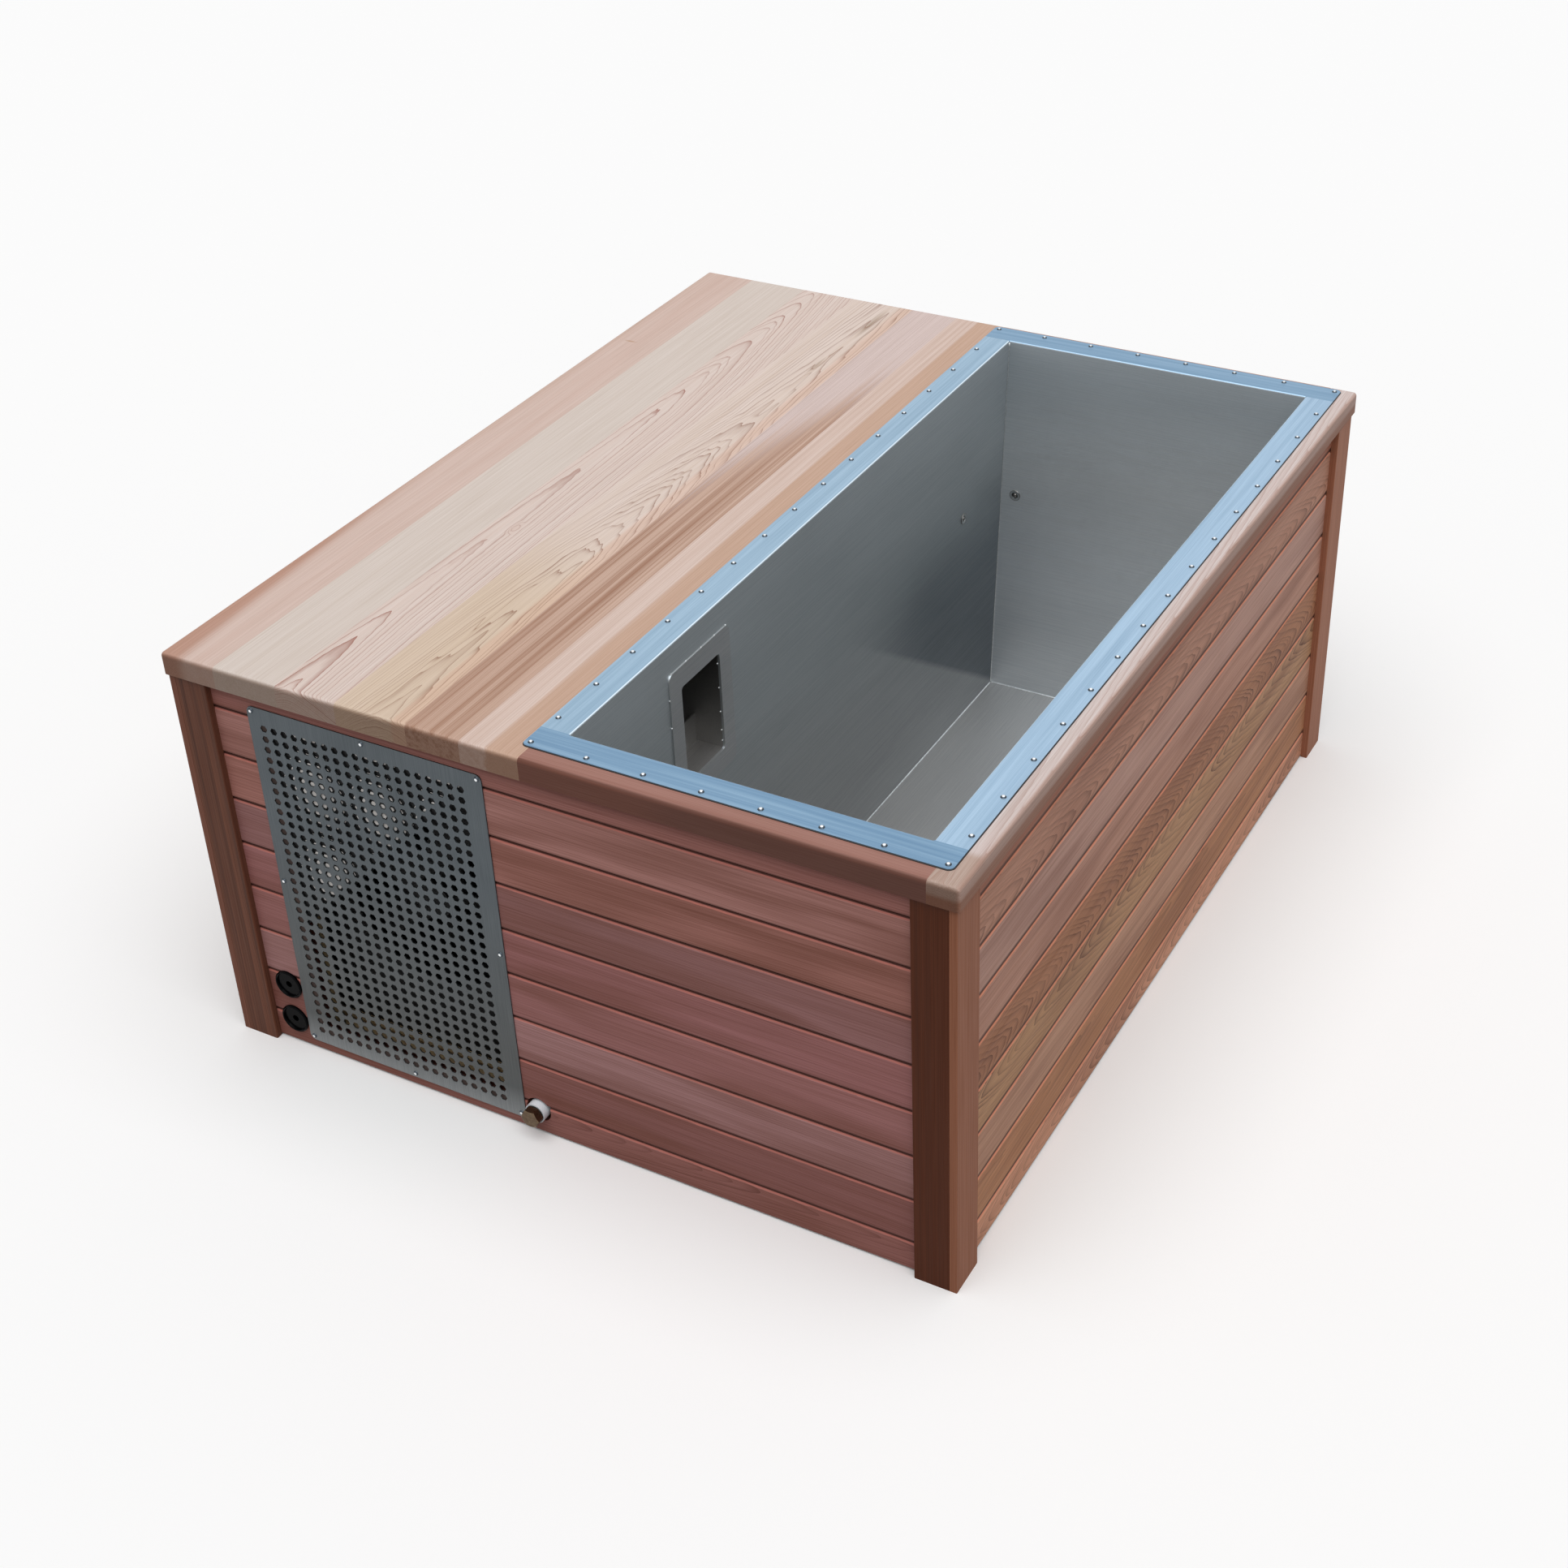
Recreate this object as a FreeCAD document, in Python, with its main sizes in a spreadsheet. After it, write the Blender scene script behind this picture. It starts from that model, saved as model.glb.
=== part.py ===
import FreeCAD, Part
import Sketcher
import math
import os
from types import SimpleNamespace

# Plunge tub: a folded stainless basin sunk into a red cedar cabinet, with an equipment bay on the left.
# Millimetres. +Z is up, +X to the right and the front faces -Y. The origin is on the floor, under the
# middle of the cabinet's footprint.

# Driving sizes: alias, number and what it measures
SIZES = [
    ("deck_height", 746, "floor to the top of the timber deck"),
    ("slab_thick", 38, "timber deck"),
    ("slab_round", 7, "radius of the deck's upper outer edges and its corners"),
    ("board_one", 104, "width of the first panel board from the left"),
    ("board_two", 119, "second panel board"),
    ("board_three", 111, "third panel board"),
    ("board_four", 129, "fourth panel board"),
    ("board_five", 95, "fifth panel board, the sixth takes the rest"),
    ("right_rail_width", 48, "deck rail along the right side"),
    ("basin_width", 578, "inside the basin, across"),
    ("basin_length", 1490, "inside the basin at the rim, front to rear"),
    ("basin_lean", 70, "how far the rear wall's foot stands forward of its top"),
    ("floor_height", 30, "floor to the basin's inner floor"),
    ("sheet_thick", 2, "basin sheet"),
    ("bend_round", 3, "outer radius where a wall folds into its flange"),
    ("flange_width", 50, "rim flange"),
    ("flange_corner", 9, "radius of the rim's outer corners"),
    ("flange_lap", 14, "flange over the panel's edge"),
    ("front_margin", 32, "timber in front of the flange"),
    ("rear_margin", 12, "timber behind the flange"),
    ("right_margin", 26, "timber right of the flange"),
    ("basin_clearance", 2, "between the basin and the timber round it"),
    ("rim_screw_inset", 10, "rim screw to the flange's outer edge"),
    ("rim_screw_pitch", 100, "between rim screws along the sides"),
    ("rim_screw_gaps", 7, "spaces between rim screws on the front and rear flanges"),
    ("screw_shank", 2.1, "screw shank radius"),
    ("screw_head", 4.6, "screw head radius"),
    ("screw_rise", 2.6, "screw head height"),
    ("rim_screw_length", 30, "rim screw under its head"),
    ("screw_play", 0.1, "radial play round a screw shank"),
    ("trim_inset", 5, "corner trim behind the deck's edge"),
    ("trim_thick", 12, "corner trim board"),
    ("trim_width", 70, "corner trim across each face"),
    ("trim_joint", 0.5, "open joint between two trims on a corner"),
    ("trim_round", 1.5, "eased long edges of the trims"),
    ("board_thick", 18, "cladding board"),
    ("board_cover", 86, "cladding course"),
    ("board_first", 57, "floor to the first V joint"),
    ("board_least", 20, "least height of the topmost course"),
    ("board_joint", 1, "open joint between courses"),
    ("board_bevel", 4, "V joint bevel"),
    ("board_floor_gap", 4, "cladding above the floor"),
    ("tongue_long", 7, "tongue of a cladding board"),
    ("tongue_thick", 6, "thickness of the tongue"),
    ("tongue_play", 0.4, "play of a tongue in its groove"),
    ("post_size", 38, "frame post"),
    ("divider_room", 17, "basin foam to the posts that divide off the equipment bay"),
    ("divider_shift", 60, "rear divider post left of the front one"),
    ("stud_thick", 24, "frame studs and rails, across the wall"),
    ("stud_width", 18, "studs beside the grille opening"),
    ("rail_height", 38, "frame rails under the deck"),
    ("bearer_width", 95, "base bearer"),
    ("bearer_gaps", 6, "spaces between base bearers"),
    ("foam_thick", 14, "foam board on the basin's walls"),
    ("foam_play", 1, "room round a foam board"),
    ("deck_board", 12, "equipment deck"),
    ("opening_in_case", 36, "heat pump's left side to the grille opening"),
    ("opening_past_case", 2, "grille opening past the heat pump's right side"),
    ("grille_thick", 2, "grille plate"),
    ("grille_lap_left", 37.5, "grille past the opening at the left"),
    ("grille_lap_right", 13.5, "grille past the opening at the right"),
    ("grille_lap_low", 37, "grille past the opening at the foot"),
    ("grille_lap_top", 23, "grille past the opening at the top"),
    ("grille_corner", 11, "corner radius of the grille"),
    ("hole_pitch", 19.3, "square grid of the grille's holes"),
    ("hole_across", 11.6, "grille hole across its flats"),
    ("hole_first_left", 28, "grille's left edge to the first hole"),
    ("hole_first_low", 28, "grille's foot to the first hole"),
    ("hole_margin", 27, "least plate past the last hole"),
    ("grille_screw_inset", 8, "grille screw to the plate's edge"),
    ("grille_screw_length", 16, "grille screw under its head"),
    ("grommet_off_grille", 1.7, "grommet flanges to the grille"),
    ("grommet_low", 51.5, "floor to the lower grommet"),
    ("grommet_apart", 73, "between the grommets"),
    ("grommet_flange", 26.5, "grommet flange radius"),
    ("grommet_neck", 21, "grommet neck radius"),
    ("grommet_rise", 5, "grommet flange height"),
    ("grommet_rim", 5, "width of the grommet's raised rim"),
    ("grommet_dish", 1, "grommet membrane above the cladding's face"),
    ("grommet_skin", 2.5, "thickness of that membrane"),
    ("grommet_bore", 6, "radius of the cable hole in the membrane"),
    ("grommet_lip", 1.5, "grommet lip behind the cladding, past its neck"),
    ("grommet_lip_thick", 4, "thickness of that lip"),
    ("grommet_play", 0.3, "radial play of the grommet's neck"),
    ("drain_side_room", 3, "drain pipe to the posts beside it"),
    ("drain_height", 47, "floor to the drain's axis"),
    ("drain_pipe_outer", 18, "drain pipe outer radius"),
    ("drain_pipe_bore", 12, "drain pipe bore radius"),
    ("drain_hole_play", 5, "cladding hole round the drain pipe"),
    ("drain_stub", 11, "drain pipe past the cladding"),
    ("drain_bend", 45, "drain pipe bend radius"),
    ("drain_from_front", 35, "basin's front wall to the drain in its left wall"),
    ("plug_across", 30, "drain plug across its flats"),
    ("plug_head", 14, "drain plug head"),
    ("plug_chamfer", 2, "rounding of the plug's face"),
    ("plug_thread", 12, "drain plug thread length"),
    ("plug_play", 0.05, "running play of the plug's thread"),
    ("seal_thick", 1.5, "drain seal"),
    ("seal_play", 0.3, "drain seal round the thread"),
    ("seal_outer", 16, "drain seal outer radius"),
    ("skimmer_below_deck", 85, "deck to the top of the skimmer mouth"),
    ("skimmer_width", 114, "skimmer mouth"),
    ("skimmer_height", 179, "skimmer mouth"),
    ("skimmer_depth", 240, "skimmer box behind the wall"),
    ("skimmer_frame_side", 33, "frame plate beside the mouth"),
    ("skimmer_frame_end", 37, "frame plate above and below the mouth"),
    ("skimmer_frame_corner", 13, "frame plate outer corner radius"),
    ("skimmer_mouth_corner", 7, "mouth corner radius"),
    ("weir_back", 50, "weir behind the wall"),
    ("weir_height", 51, "weir above the box floor"),
    ("filter_radius", 48, "filter cartridge"),
    ("filter_height", 140, "filter cartridge"),
    ("filter_bore", 18, "filter cartridge bore radius"),
    ("filter_cap", 8, "filter end cap"),
    ("filter_pleats", 36, "filter pleats"),
    ("filter_pleat_deep", 9, "depth of a pleat"),
    ("filter_room", 10, "filter to the box's back"),
    ("socket_radius", 10, "return socket"),
    ("socket_bore", 6.5, "return socket bore radius"),
    ("socket_rise", 1.5, "return socket inside the wall"),
    ("left_socket_from_rear", 198, "rear rim to the socket in the left wall"),
    ("left_socket_below", 280, "deck to the socket in the left wall"),
    ("rear_socket_from_left", 29.5, "left wall to the socket in the rear wall"),
    ("rear_socket_drop", 24, "socket in the rear wall below the one in the left wall"),
    ("pipe_radius", 12.5, "feed and return pipe"),
    ("pipe_wall", 2.5, "feed and return pipe wall"),
    ("pipe_bend", 50, "feed and return pipe bend radius"),
    ("return_off_wall", 41.5, "left wall to the return pipe"),
    ("return_off_rear", 27, "rear cladding to the return pipe's middle"),
    ("suction_radius", 15, "suction pipe"),
    ("suction_wall", 3, "suction pipe wall"),
    ("suction_bend", 60, "suction pipe bend radius"),
    ("suction_rise", 15, "suction pipe inside the filter"),
    ("bay_left_room", 110, "left cladding to the heat pump"),
    ("case_room_front", 30, "front studs to the heat pump"),
    ("case_room_top", 108, "heat pump to the deck's underside"),
    ("case_width", 418, "heat pump"),
    ("case_depth", 268, "heat pump"),
    ("case_off_skimmer", 14, "heat pump to the skimmer box"),
    ("case_sheet", 2, "heat pump sheet"),
    ("fan_from_right", 188, "heat pump's right side to the fan"),
    ("fan_up", 290, "heat pump's foot to the fan"),
    ("fan_radius", 150, "fan"),
    ("fan_tip_play", 6, "fan tip to the front panel's opening"),
    ("fan_hub", 36, "fan hub radius"),
    ("fan_deep", 34, "fan along its shaft"),
    ("fan_behind_panel", 10, "fan behind the front panel"),
    ("fan_blades", 5, "fan blades"),
    ("fan_pitch", 28, "blade angle in degrees"),
    ("blade_thick", 3, "fan blade"),
    ("shaft_radius", 6, "fan and pump shafts"),
    ("shaft_play", 0.05, "running play of a shaft"),
    ("shaft_seat", 45, "shaft inside its motor"),
    ("fan_motor_radius", 42, "fan motor"),
    ("fan_motor_long", 70, "fan motor"),
    ("fan_motor_gap", 4, "fan hub to its motor"),
    ("strut_width", 40, "strut that carries the fan motor"),
    ("strut_thick", 4, "that strut"),
    ("coil_left", 130, "heat pump's left side to the condenser coil"),
    ("coil_off_side", 26, "condenser coil to the cover's right side"),
    ("coil_deep", 24, "condenser coil"),
    ("coil_off_foot", 14, "condenser coil's end frames to its fins"),
    ("coil_fins", 32, "spaces between condenser fins"),
    ("coil_tube", 4.5, "condenser tube radius"),
    ("coil_tubes", 8, "condenser tubes"),
    ("fin_thick", 1.2, "condenser fin"),
    ("compressor_right", 78, "heat pump's right side to the compressor's axis"),
    ("compressor_back", 150, "heat pump's rear to the compressor's axis"),
    ("compressor_radius", 58, "compressor"),
    ("compressor_height", 215, "compressor"),
    ("exchanger_left", 62, "heat pump's left side to the heat exchanger's axis"),
    ("exchanger_back", 105, "heat pump's rear to the heat exchanger's axis"),
    ("exchanger_radius", 48, "heat exchanger"),
    ("exchanger_room", 86, "heat exchanger to the top of the cover"),
    ("feed_rise", 53, "straight run up from the pump to the feed pipe's first bend"),
    ("stub_long", 22, "heat exchanger stubs past the cover"),
    ("control_width", 220, "control box"),
    ("control_depth", 150, "control box"),
    ("control_height", 54, "control box"),
    ("control_left", 100, "heat pump's left side to the control box"),
    ("control_front", 60, "heat pump's front to the control box"),
    ("control_wall", 3, "control box wall"),
    ("pump_from_skimmer", 160, "skimmer box to the pump housing"),
    ("pump_up", 85, "equipment deck to the pump's axis"),
    ("pump_radius", 72, "pump housing"),
    ("pump_long", 60, "pump housing"),
    ("pump_wall", 11, "pump housing wall"),
    ("pump_spigot", 30, "pump spigots"),
    ("impeller_radius", 48, "pump impeller"),
    ("impeller_disc", 6, "impeller back disc"),
    ("impeller_vanes", 6, "impeller vanes"),
    ("vane_thick", 4, "impeller vane"),
    ("vane_high", 16, "impeller vane along the shaft"),
    ("impeller_play", 6, "impeller to the housing's front wall"),
    ("motor_radius", 58, "pump motor"),
    ("motor_long", 190, "pump motor"),
    ("motor_flange", 8, "pump motor flange"),
    ("foot_width", 84, "pump foot"),
    ("terminal_width", 50, "pump terminal box"),
    ("terminal_long", 60, "pump terminal box"),
    ("terminal_rise", 28, "pump terminal box above the motor"),
    ("conduit_radius", 8, "pump conduit"),
    ("conduit_bend", 45, "pump conduit bend radius"),
    ("conduit_off_skimmer", 34, "pump conduit past the skimmer box's back"),
]

doc = FreeCAD.newDocument("plunge_tub")
sheet = doc.addObject("Spreadsheet::Sheet", "Sizes")
for row, (alias, number, note) in enumerate(SIZES, start=1):
    sheet.set(f"A{row}", note)
    sheet.set(f"B{row}", str(number))
    sheet.setAlias(f"B{row}", alias)
doc.recompute()


class Size:
    """A length that knows both its number and the spreadsheet expression that gives it."""

    def __init__(self, text, number):
        self.text = text
        self.number = number

    def __add__(self, other):
        other = as_size(other)
        return Size(f"({self.text} + {other.text})", self.number + other.number)

    def __sub__(self, other):
        other = as_size(other)
        return Size(f"({self.text} - {other.text})", self.number - other.number)

    def __mul__(self, factor):
        factor = as_size(factor)
        return Size(f"{self.text} * {factor.text}", self.number * factor.number)

    def __truediv__(self, divisor):
        divisor = as_size(divisor)
        return Size(f"{self.text} / {divisor.text}", self.number / divisor.number)

    def __neg__(self):
        return Size(f"(0 - {self.text})", -self.number)


def as_size(value):
    return value if isinstance(value, Size) else Size(str(value), value)


s = SimpleNamespace(**{alias: Size(f"Sizes.{alias}", float(sheet.get(alias))) for alias, _, _ in SIZES})
ORIGIN = FreeCAD.Vector(0, 0, 0)
NEAR = 1e-6

nodes = []


def node(label, obj):
    """Names a finished sub-part after its file."""
    obj.Label = label
    nodes.append(obj)
    return obj


# Building blocks

AXES = {
    "+X": FreeCAD.Rotation(FreeCAD.Vector(0, 1, 0), 90),
    "-X": FreeCAD.Rotation(FreeCAD.Vector(0, 1, 0), -90),
    "+Y": FreeCAD.Rotation(FreeCAD.Vector(1, 0, 0), -90),
    "-Y": FreeCAD.Rotation(FreeCAD.Vector(1, 0, 0), 90),
    "+Z": FreeCAD.Rotation(),
}


def place(obj, at, axis="+Z"):
    """Stands an object at a point, with its own Z along the given axis."""
    obj.Placement = FreeCAD.Placement(ORIGIN, AXES[axis])
    for letter, size in zip("xyz", at):
        obj.setExpression(f"Placement.Base.{letter}", as_size(size).text)
    return obj


def box(name, low, high):
    """A block between two opposite corners."""
    obj = doc.addObject("Part::Box", name)
    for prop, near, far in zip(("Length", "Width", "Height"), low, high):
        obj.setExpression(prop, (as_size(far) - near).text)
    return place(obj, low)


def rod(name, radius, at, length, axis):
    """A cylinder from a point along an axis."""
    obj = doc.addObject("Part::Cylinder", name)
    obj.setExpression("Radius", as_size(radius).text)
    obj.setExpression("Height", as_size(length).text)
    return place(obj, at, axis)


def cut(name, base, *tools):
    obj = doc.addObject("Part::Cut", name)
    obj.Base = base
    obj.Tool = tools[0] if len(tools) == 1 else fuse(name + "_tools", *tools)
    return obj


def fuse(name, *pieces):
    obj = doc.addObject("Part::MultiFuse", name)
    obj.Shapes = list(pieces)
    obj.Refine = True
    return obj


def group(name, *pieces):
    """Separate solids kept together as one sub-part."""
    obj = doc.addObject("Part::Compound", name)
    obj.Links = list(pieces)
    return obj


def shaped(name, shape):
    """A shape made in code, for what primitives and sketches can't hold."""
    obj = doc.addObject("Part::Feature", name)
    obj.Shape = shape
    return obj


def tube(name, outer, bore, at, length, axis):
    return cut(name, rod(name + "_outer", outer, at, length, axis),
               rod(name + "_bore", bore, at, length, axis))


def rounded(name, base, *picks):
    """Fillets the edges that lie on two planes: each pick is a radius and its planes by axis letter."""
    doc.recompute()
    edges = []
    for index, edge in enumerate(base.Shape.Edges, start=1):
        for radius, planes in picks:
            off = [abs(getattr(vertex.Point, letter) - as_size(plane).number)
                   for vertex in edge.Vertexes for letter, plane in planes.items()]
            if max(off) < NEAR:
                edges.append((index, radius.number, radius.number))
    obj = doc.addObject("Part::Fillet", name)
    obj.Base = base
    obj.Edges = edges
    return obj


def polygon_sketch(body, name, plane_role, outline):
    """A closed polygon whose corners are each held by two driven distances from the origin."""
    sketch = body.newObject("Sketcher::SketchObject", name)
    plane = next(feature for feature in body.Origin.OriginFeatures if feature.Role == plane_role)
    sketch.AttachmentSupport = [(plane, "")]
    sketch.MapMode = "FlatFace"
    corners = [(as_size(across), as_size(up)) for across, up in outline]
    points = [FreeCAD.Vector(across.number, up.number, 0) for across, up in corners]
    count = len(points)
    sketch.addGeometry([Part.LineSegment(points[i], points[(i + 1) % count]) for i in range(count)])
    sketch.addConstraint([Sketcher.Constraint("Coincident", i, 2, (i + 1) % count, 1) for i in range(count)])
    for i, corner in enumerate(corners):
        for kind, size in zip(("DistanceX", "DistanceY"), corner):
            index = sketch.addConstraint(Sketcher.Constraint(kind, -1, 1, i, 1, size.number))
            sketch.setExpression(f"Constraints[{index}]", size.text)
    return sketch


def prism(name, plane_role, outline, start, length):
    """A polygon padded along the axis that its plane leaves out, from start over length."""
    body = doc.addObject("PartDesign::Body", name)
    pad = body.newObject("PartDesign::Pad", name + "_pad")
    pad.Profile = polygon_sketch(body, name + "_outline", plane_role, outline)
    pad.setExpression("Length", as_size(length).text)
    pad.Reversed = plane_role == "XZ_Plane"
    body.Tip = pad
    spot = {"YZ_Plane": (start, 0, 0), "XZ_Plane": (0, start, 0), "XY_Plane": (0, 0, start)}[plane_role]
    return place(body, spot)


def turned(name, outline, at, axis):
    """A body of revolution from (radius, distance along the axis) corners."""
    body = doc.addObject("PartDesign::Body", name)
    sketch = polygon_sketch(body, name + "_outline", "XZ_Plane", outline)
    spin = body.newObject("PartDesign::Revolution", name + "_spin")
    spin.Profile = sketch
    spin.ReferenceAxis = (sketch, ["V_Axis"])
    spin.Angle = 360
    body.Tip = spin
    return place(body, at, axis)


def numbers(point):
    return FreeCAD.Vector(*(as_size(size).number for size in point))


def bent_tube(name, points, radius, wall, bend):
    """A pipe along straight runs joined by tangent arcs, its volume held against section times length."""
    stops = [numbers(point) for point in points]
    edges = []
    start = stops[0]
    for before, corner, after in zip(stops, stops[1:], stops[2:]):
        back = (before - corner).normalize()
        ahead = (after - corner).normalize()
        half = back.getAngle(ahead) / 2
        reach = bend.number / math.tan(half)
        entry = corner + back * reach
        leave = corner + ahead * reach
        inward = (back + ahead).normalize()
        middle = corner + inward * (bend.number / math.sin(half) - bend.number)
        edges.append(Part.LineSegment(start, entry).toShape())
        edges.append(Part.Arc(entry, middle, leave).toShape())
        start = leave
    edges.append(Part.LineSegment(start, stops[-1]).toShape())
    spine = Part.Wire(edges)
    bore = radius.number - wall.number

    def swept(section):
        ring = Part.Wire(Part.makeCircle(section, stops[0], stops[1] - stops[0]))
        solid = spine.makePipeShell([ring], True, False)
        expected = math.pi * section ** 2 * spine.Length
        if abs(solid.Volume - expected) > expected / 1000:
            raise ValueError(f"{name}: swept volume {solid.Volume:.0f}, expected {expected:.0f}")
        return solid

    return shaped(name, swept(radius.number).cut(swept(bore)))


def pan_screw(length):
    """A pan-head screw hanging from the origin: domed head above, shank with a point below."""
    head, rise, shank = s.screw_head.number, s.screw_rise.number, s.screw_shank.number
    dome = (head ** 2 + rise ** 2) / (2 * rise)
    half = math.asin(head / dome) / 2
    crown = FreeCAD.Vector(0, 0, rise)
    shoulder = FreeCAD.Vector(dome * math.sin(half), 0, rise - dome * (1 - math.cos(half)))
    rim = FreeCAD.Vector(head, 0, 0)
    neck = FreeCAD.Vector(shank, 0, 0)
    toe = FreeCAD.Vector(shank, 0, shank - length.number)
    tip = FreeCAD.Vector(0, 0, -length.number)
    edges = [Part.Arc(crown, shoulder, rim).toShape()]
    for near, far in ((rim, neck), (neck, toe), (toe, tip), (tip, crown)):
        edges.append(Part.LineSegment(near, far).toShape())
    return Part.Face(Part.Wire(edges)).revolve(ORIGIN, FreeCAD.Vector(0, 0, 1), 360)


def screw_set(name, length, heads, axis):
    """Like screws at several points, their heads outward along the axis."""
    screw = pan_screw(length)
    turn = AXES[axis]
    return shaped(name, Part.makeCompound(
        [screw.transformed(FreeCAD.Placement(numbers(head), turn).toMatrix()) for head in heads]))


def hole_set(name, heads, axis, length):
    """Clearance holes for the shanks of a screw set."""
    radius = (s.screw_shank + s.screw_play).number
    turn = AXES[axis]
    drill = Part.makeCylinder(radius, length.number, ORIGIN, FreeCAD.Vector(0, 0, -1))
    return shaped(name, Part.makeCompound(
        [drill.transformed(FreeCAD.Placement(numbers(head), turn).toMatrix()) for head in heads]))


# Levels and lines that the pieces share

bay_left = s.trim_inset + s.trim_thick + s.board_thick + s.bay_left_room
drain_room = (s.drain_pipe_outer + s.drain_side_room) * 2
bay_right = s.opening_past_case + s.stud_width + drain_room + s.post_size + s.divider_room + s.foam_thick
basin_side = s.sheet_thick + s.basin_width + s.flange_width + s.right_margin
cabinet_width = bay_left + s.case_width + bay_right + basin_side
cabinet_depth = s.front_margin + s.flange_width * 2 + s.basin_length + s.rear_margin
left, right = -cabinet_width / 2, cabinet_width / 2
front, rear = -cabinet_depth / 2, cabinet_depth / 2
slab_low = s.deck_height - s.slab_thick
bearer_top = s.floor_height - s.sheet_thick

basin_right = right - s.right_margin - s.flange_width
basin_left = basin_right - s.basin_width
basin_front = front + s.front_margin + s.flange_width
basin_rear = rear - s.rear_margin - s.flange_width
basin_foot = basin_rear - s.basin_lean
panel_right = basin_left - s.flange_width + s.flange_lap
rail_left = right - s.right_rail_width

trim_out = {"left": left + s.trim_inset, "right": right - s.trim_inset,
            "front": front + s.trim_inset, "rear": rear - s.trim_inset}
inward = {"left": 1, "right": -1, "front": 1, "rear": -1}


def behind_trim(side, depth):
    """A plane parallel to one side of the cabinet, that far behind its trims' face."""
    return trim_out[side] + as_size(depth) * inward[side]


clad_out = {side: behind_trim(side, s.trim_thick) for side in inward}
clad_in = {side: behind_trim(side, s.trim_thick + s.board_thick) for side in inward}

case_left = left + bay_left
case_right = case_left + s.case_width
case_front = clad_in["front"] + s.stud_thick + s.case_room_front
case_rear = case_front + s.case_depth
case_top = slab_low - s.case_room_top
opening_left = case_left + s.opening_in_case
opening_right = case_right + s.opening_past_case
drain_x = opening_right + s.stud_width + drain_room / 2
divider_left = opening_right + s.stud_width + drain_room
divider_right = divider_left + s.post_size
rear_divider_left = divider_left - s.divider_shift

deck_top = bearer_top + s.deck_board
pump_z = deck_top + s.pump_up
outlet_top = pump_z + s.pump_radius + s.pump_spigot
feed_height = outlet_top + s.pipe_bend + s.feed_rise
return_height = s.deck_height - s.left_socket_below
rear_return_height = return_height - s.rear_socket_drop


# Base bearers: flat planks across the cabinet that carry everything

bearer_pitch = (clad_in["rear"] - clad_in["front"] - s.bearer_width) / s.bearer_gaps
bearer_count = round(s.bearer_gaps.number) + 1
bearers = []
for i in range(bearer_count):
    bearer_front = clad_in["front"] + bearer_pitch * i
    bearers.append(box(f"bearer_{i}", (clad_in["left"], bearer_front, 0),
                       (clad_in["right"], bearer_front + s.bearer_width, bearer_top)))
node("base_bearers", group("base_bearers", *bearers))


# Frame: corner posts, posts and studs between them, and rails under the deck

rail_low = slab_low - s.rail_height
right_stud = clad_in["right"] - s.stud_thick


def post(name, x, y, width, depth):
    return box(name, (x, y, bearer_top), (x + width, y + depth, rail_low))


left_x, right_x = clad_in["left"], clad_in["right"] - s.post_size
front_y, rear_y = clad_in["front"], clad_in["rear"] - s.post_size
posts = [
    post("post_front_left", left_x, front_y, s.post_size, s.post_size),
    post("post_front_right", right_x, front_y, s.post_size, s.post_size),
    post("post_rear_left", left_x, rear_y, s.post_size, s.post_size),
    post("post_rear_right", right_x, rear_y, s.post_size, s.post_size),
    post("post_front_divider", divider_left, front_y, s.post_size, s.post_size),
    post("post_rear_divider", rear_divider_left, rear_y, s.post_size, s.post_size),
    post("stud_opening_left", opening_left - s.stud_width, front_y, s.stud_width, s.stud_thick),
    post("stud_opening_right", opening_right, front_y, s.stud_width, s.stud_thick),
]
stud_rear = clad_in["rear"] - s.stud_thick
for i, part in enumerate((-0.33, 0.33)):
    middle = cabinet_depth * part / 2
    posts.append(post(f"stud_left_{i}", left_x, middle, s.stud_thick, s.post_size))
    posts.append(post(f"stud_right_{i}", right_stud, middle, s.stud_thick, s.post_size))
bay_stud = (left_x + rear_divider_left) / 2
basin_stud = (basin_left + basin_right) / 2
posts.append(post("stud_rear_bay", bay_stud, stud_rear, s.post_size, s.stud_thick))
posts.append(post("stud_rear_basin", basin_stud, stud_rear, s.stud_thick, s.stud_thick))
node("frame_posts", group("frame_posts", *posts))

rail_front = clad_in["front"] + s.stud_thick
rails = [
    box("rail_front", (left_x, clad_in["front"], rail_low), (clad_in["right"], rail_front, slab_low)),
    box("rail_rear", (left_x, stud_rear, rail_low), (clad_in["right"], clad_in["rear"], slab_low)),
    box("rail_left", (left_x, rail_front, rail_low), (left_x + s.stud_thick, stud_rear, slab_low)),
    box("rail_right", (right_stud, rail_front, rail_low), (clad_in["right"], stud_rear, slab_low)),
    box("rail_divider", (divider_right - s.stud_thick, rail_front, rail_low),
        (divider_right, stud_rear, slab_low)),
]
node("top_frame_rails", group("top_frame_rails", *rails))


# Drain, grommet and grille places on the front face

front_face = clad_out["front"]
drain_end = front_face - s.drain_stub
grommet_heights = {"lower": s.grommet_low, "upper": s.grommet_low + s.grommet_apart}
courses = math.floor((slab_low - s.board_first - s.board_least).number / s.board_cover.number)
opening_low = s.board_first
opening_top = s.board_first + s.board_cover * courses
grille_left = opening_left - s.grille_lap_left
grille_right = opening_right + s.grille_lap_right
grille_low = opening_low - s.grille_lap_low
grille_top = opening_top + s.grille_lap_top
grille_face = front_face - s.grille_thick
grommet_x = grille_left - s.grommet_off_grille - s.grommet_flange

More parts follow.
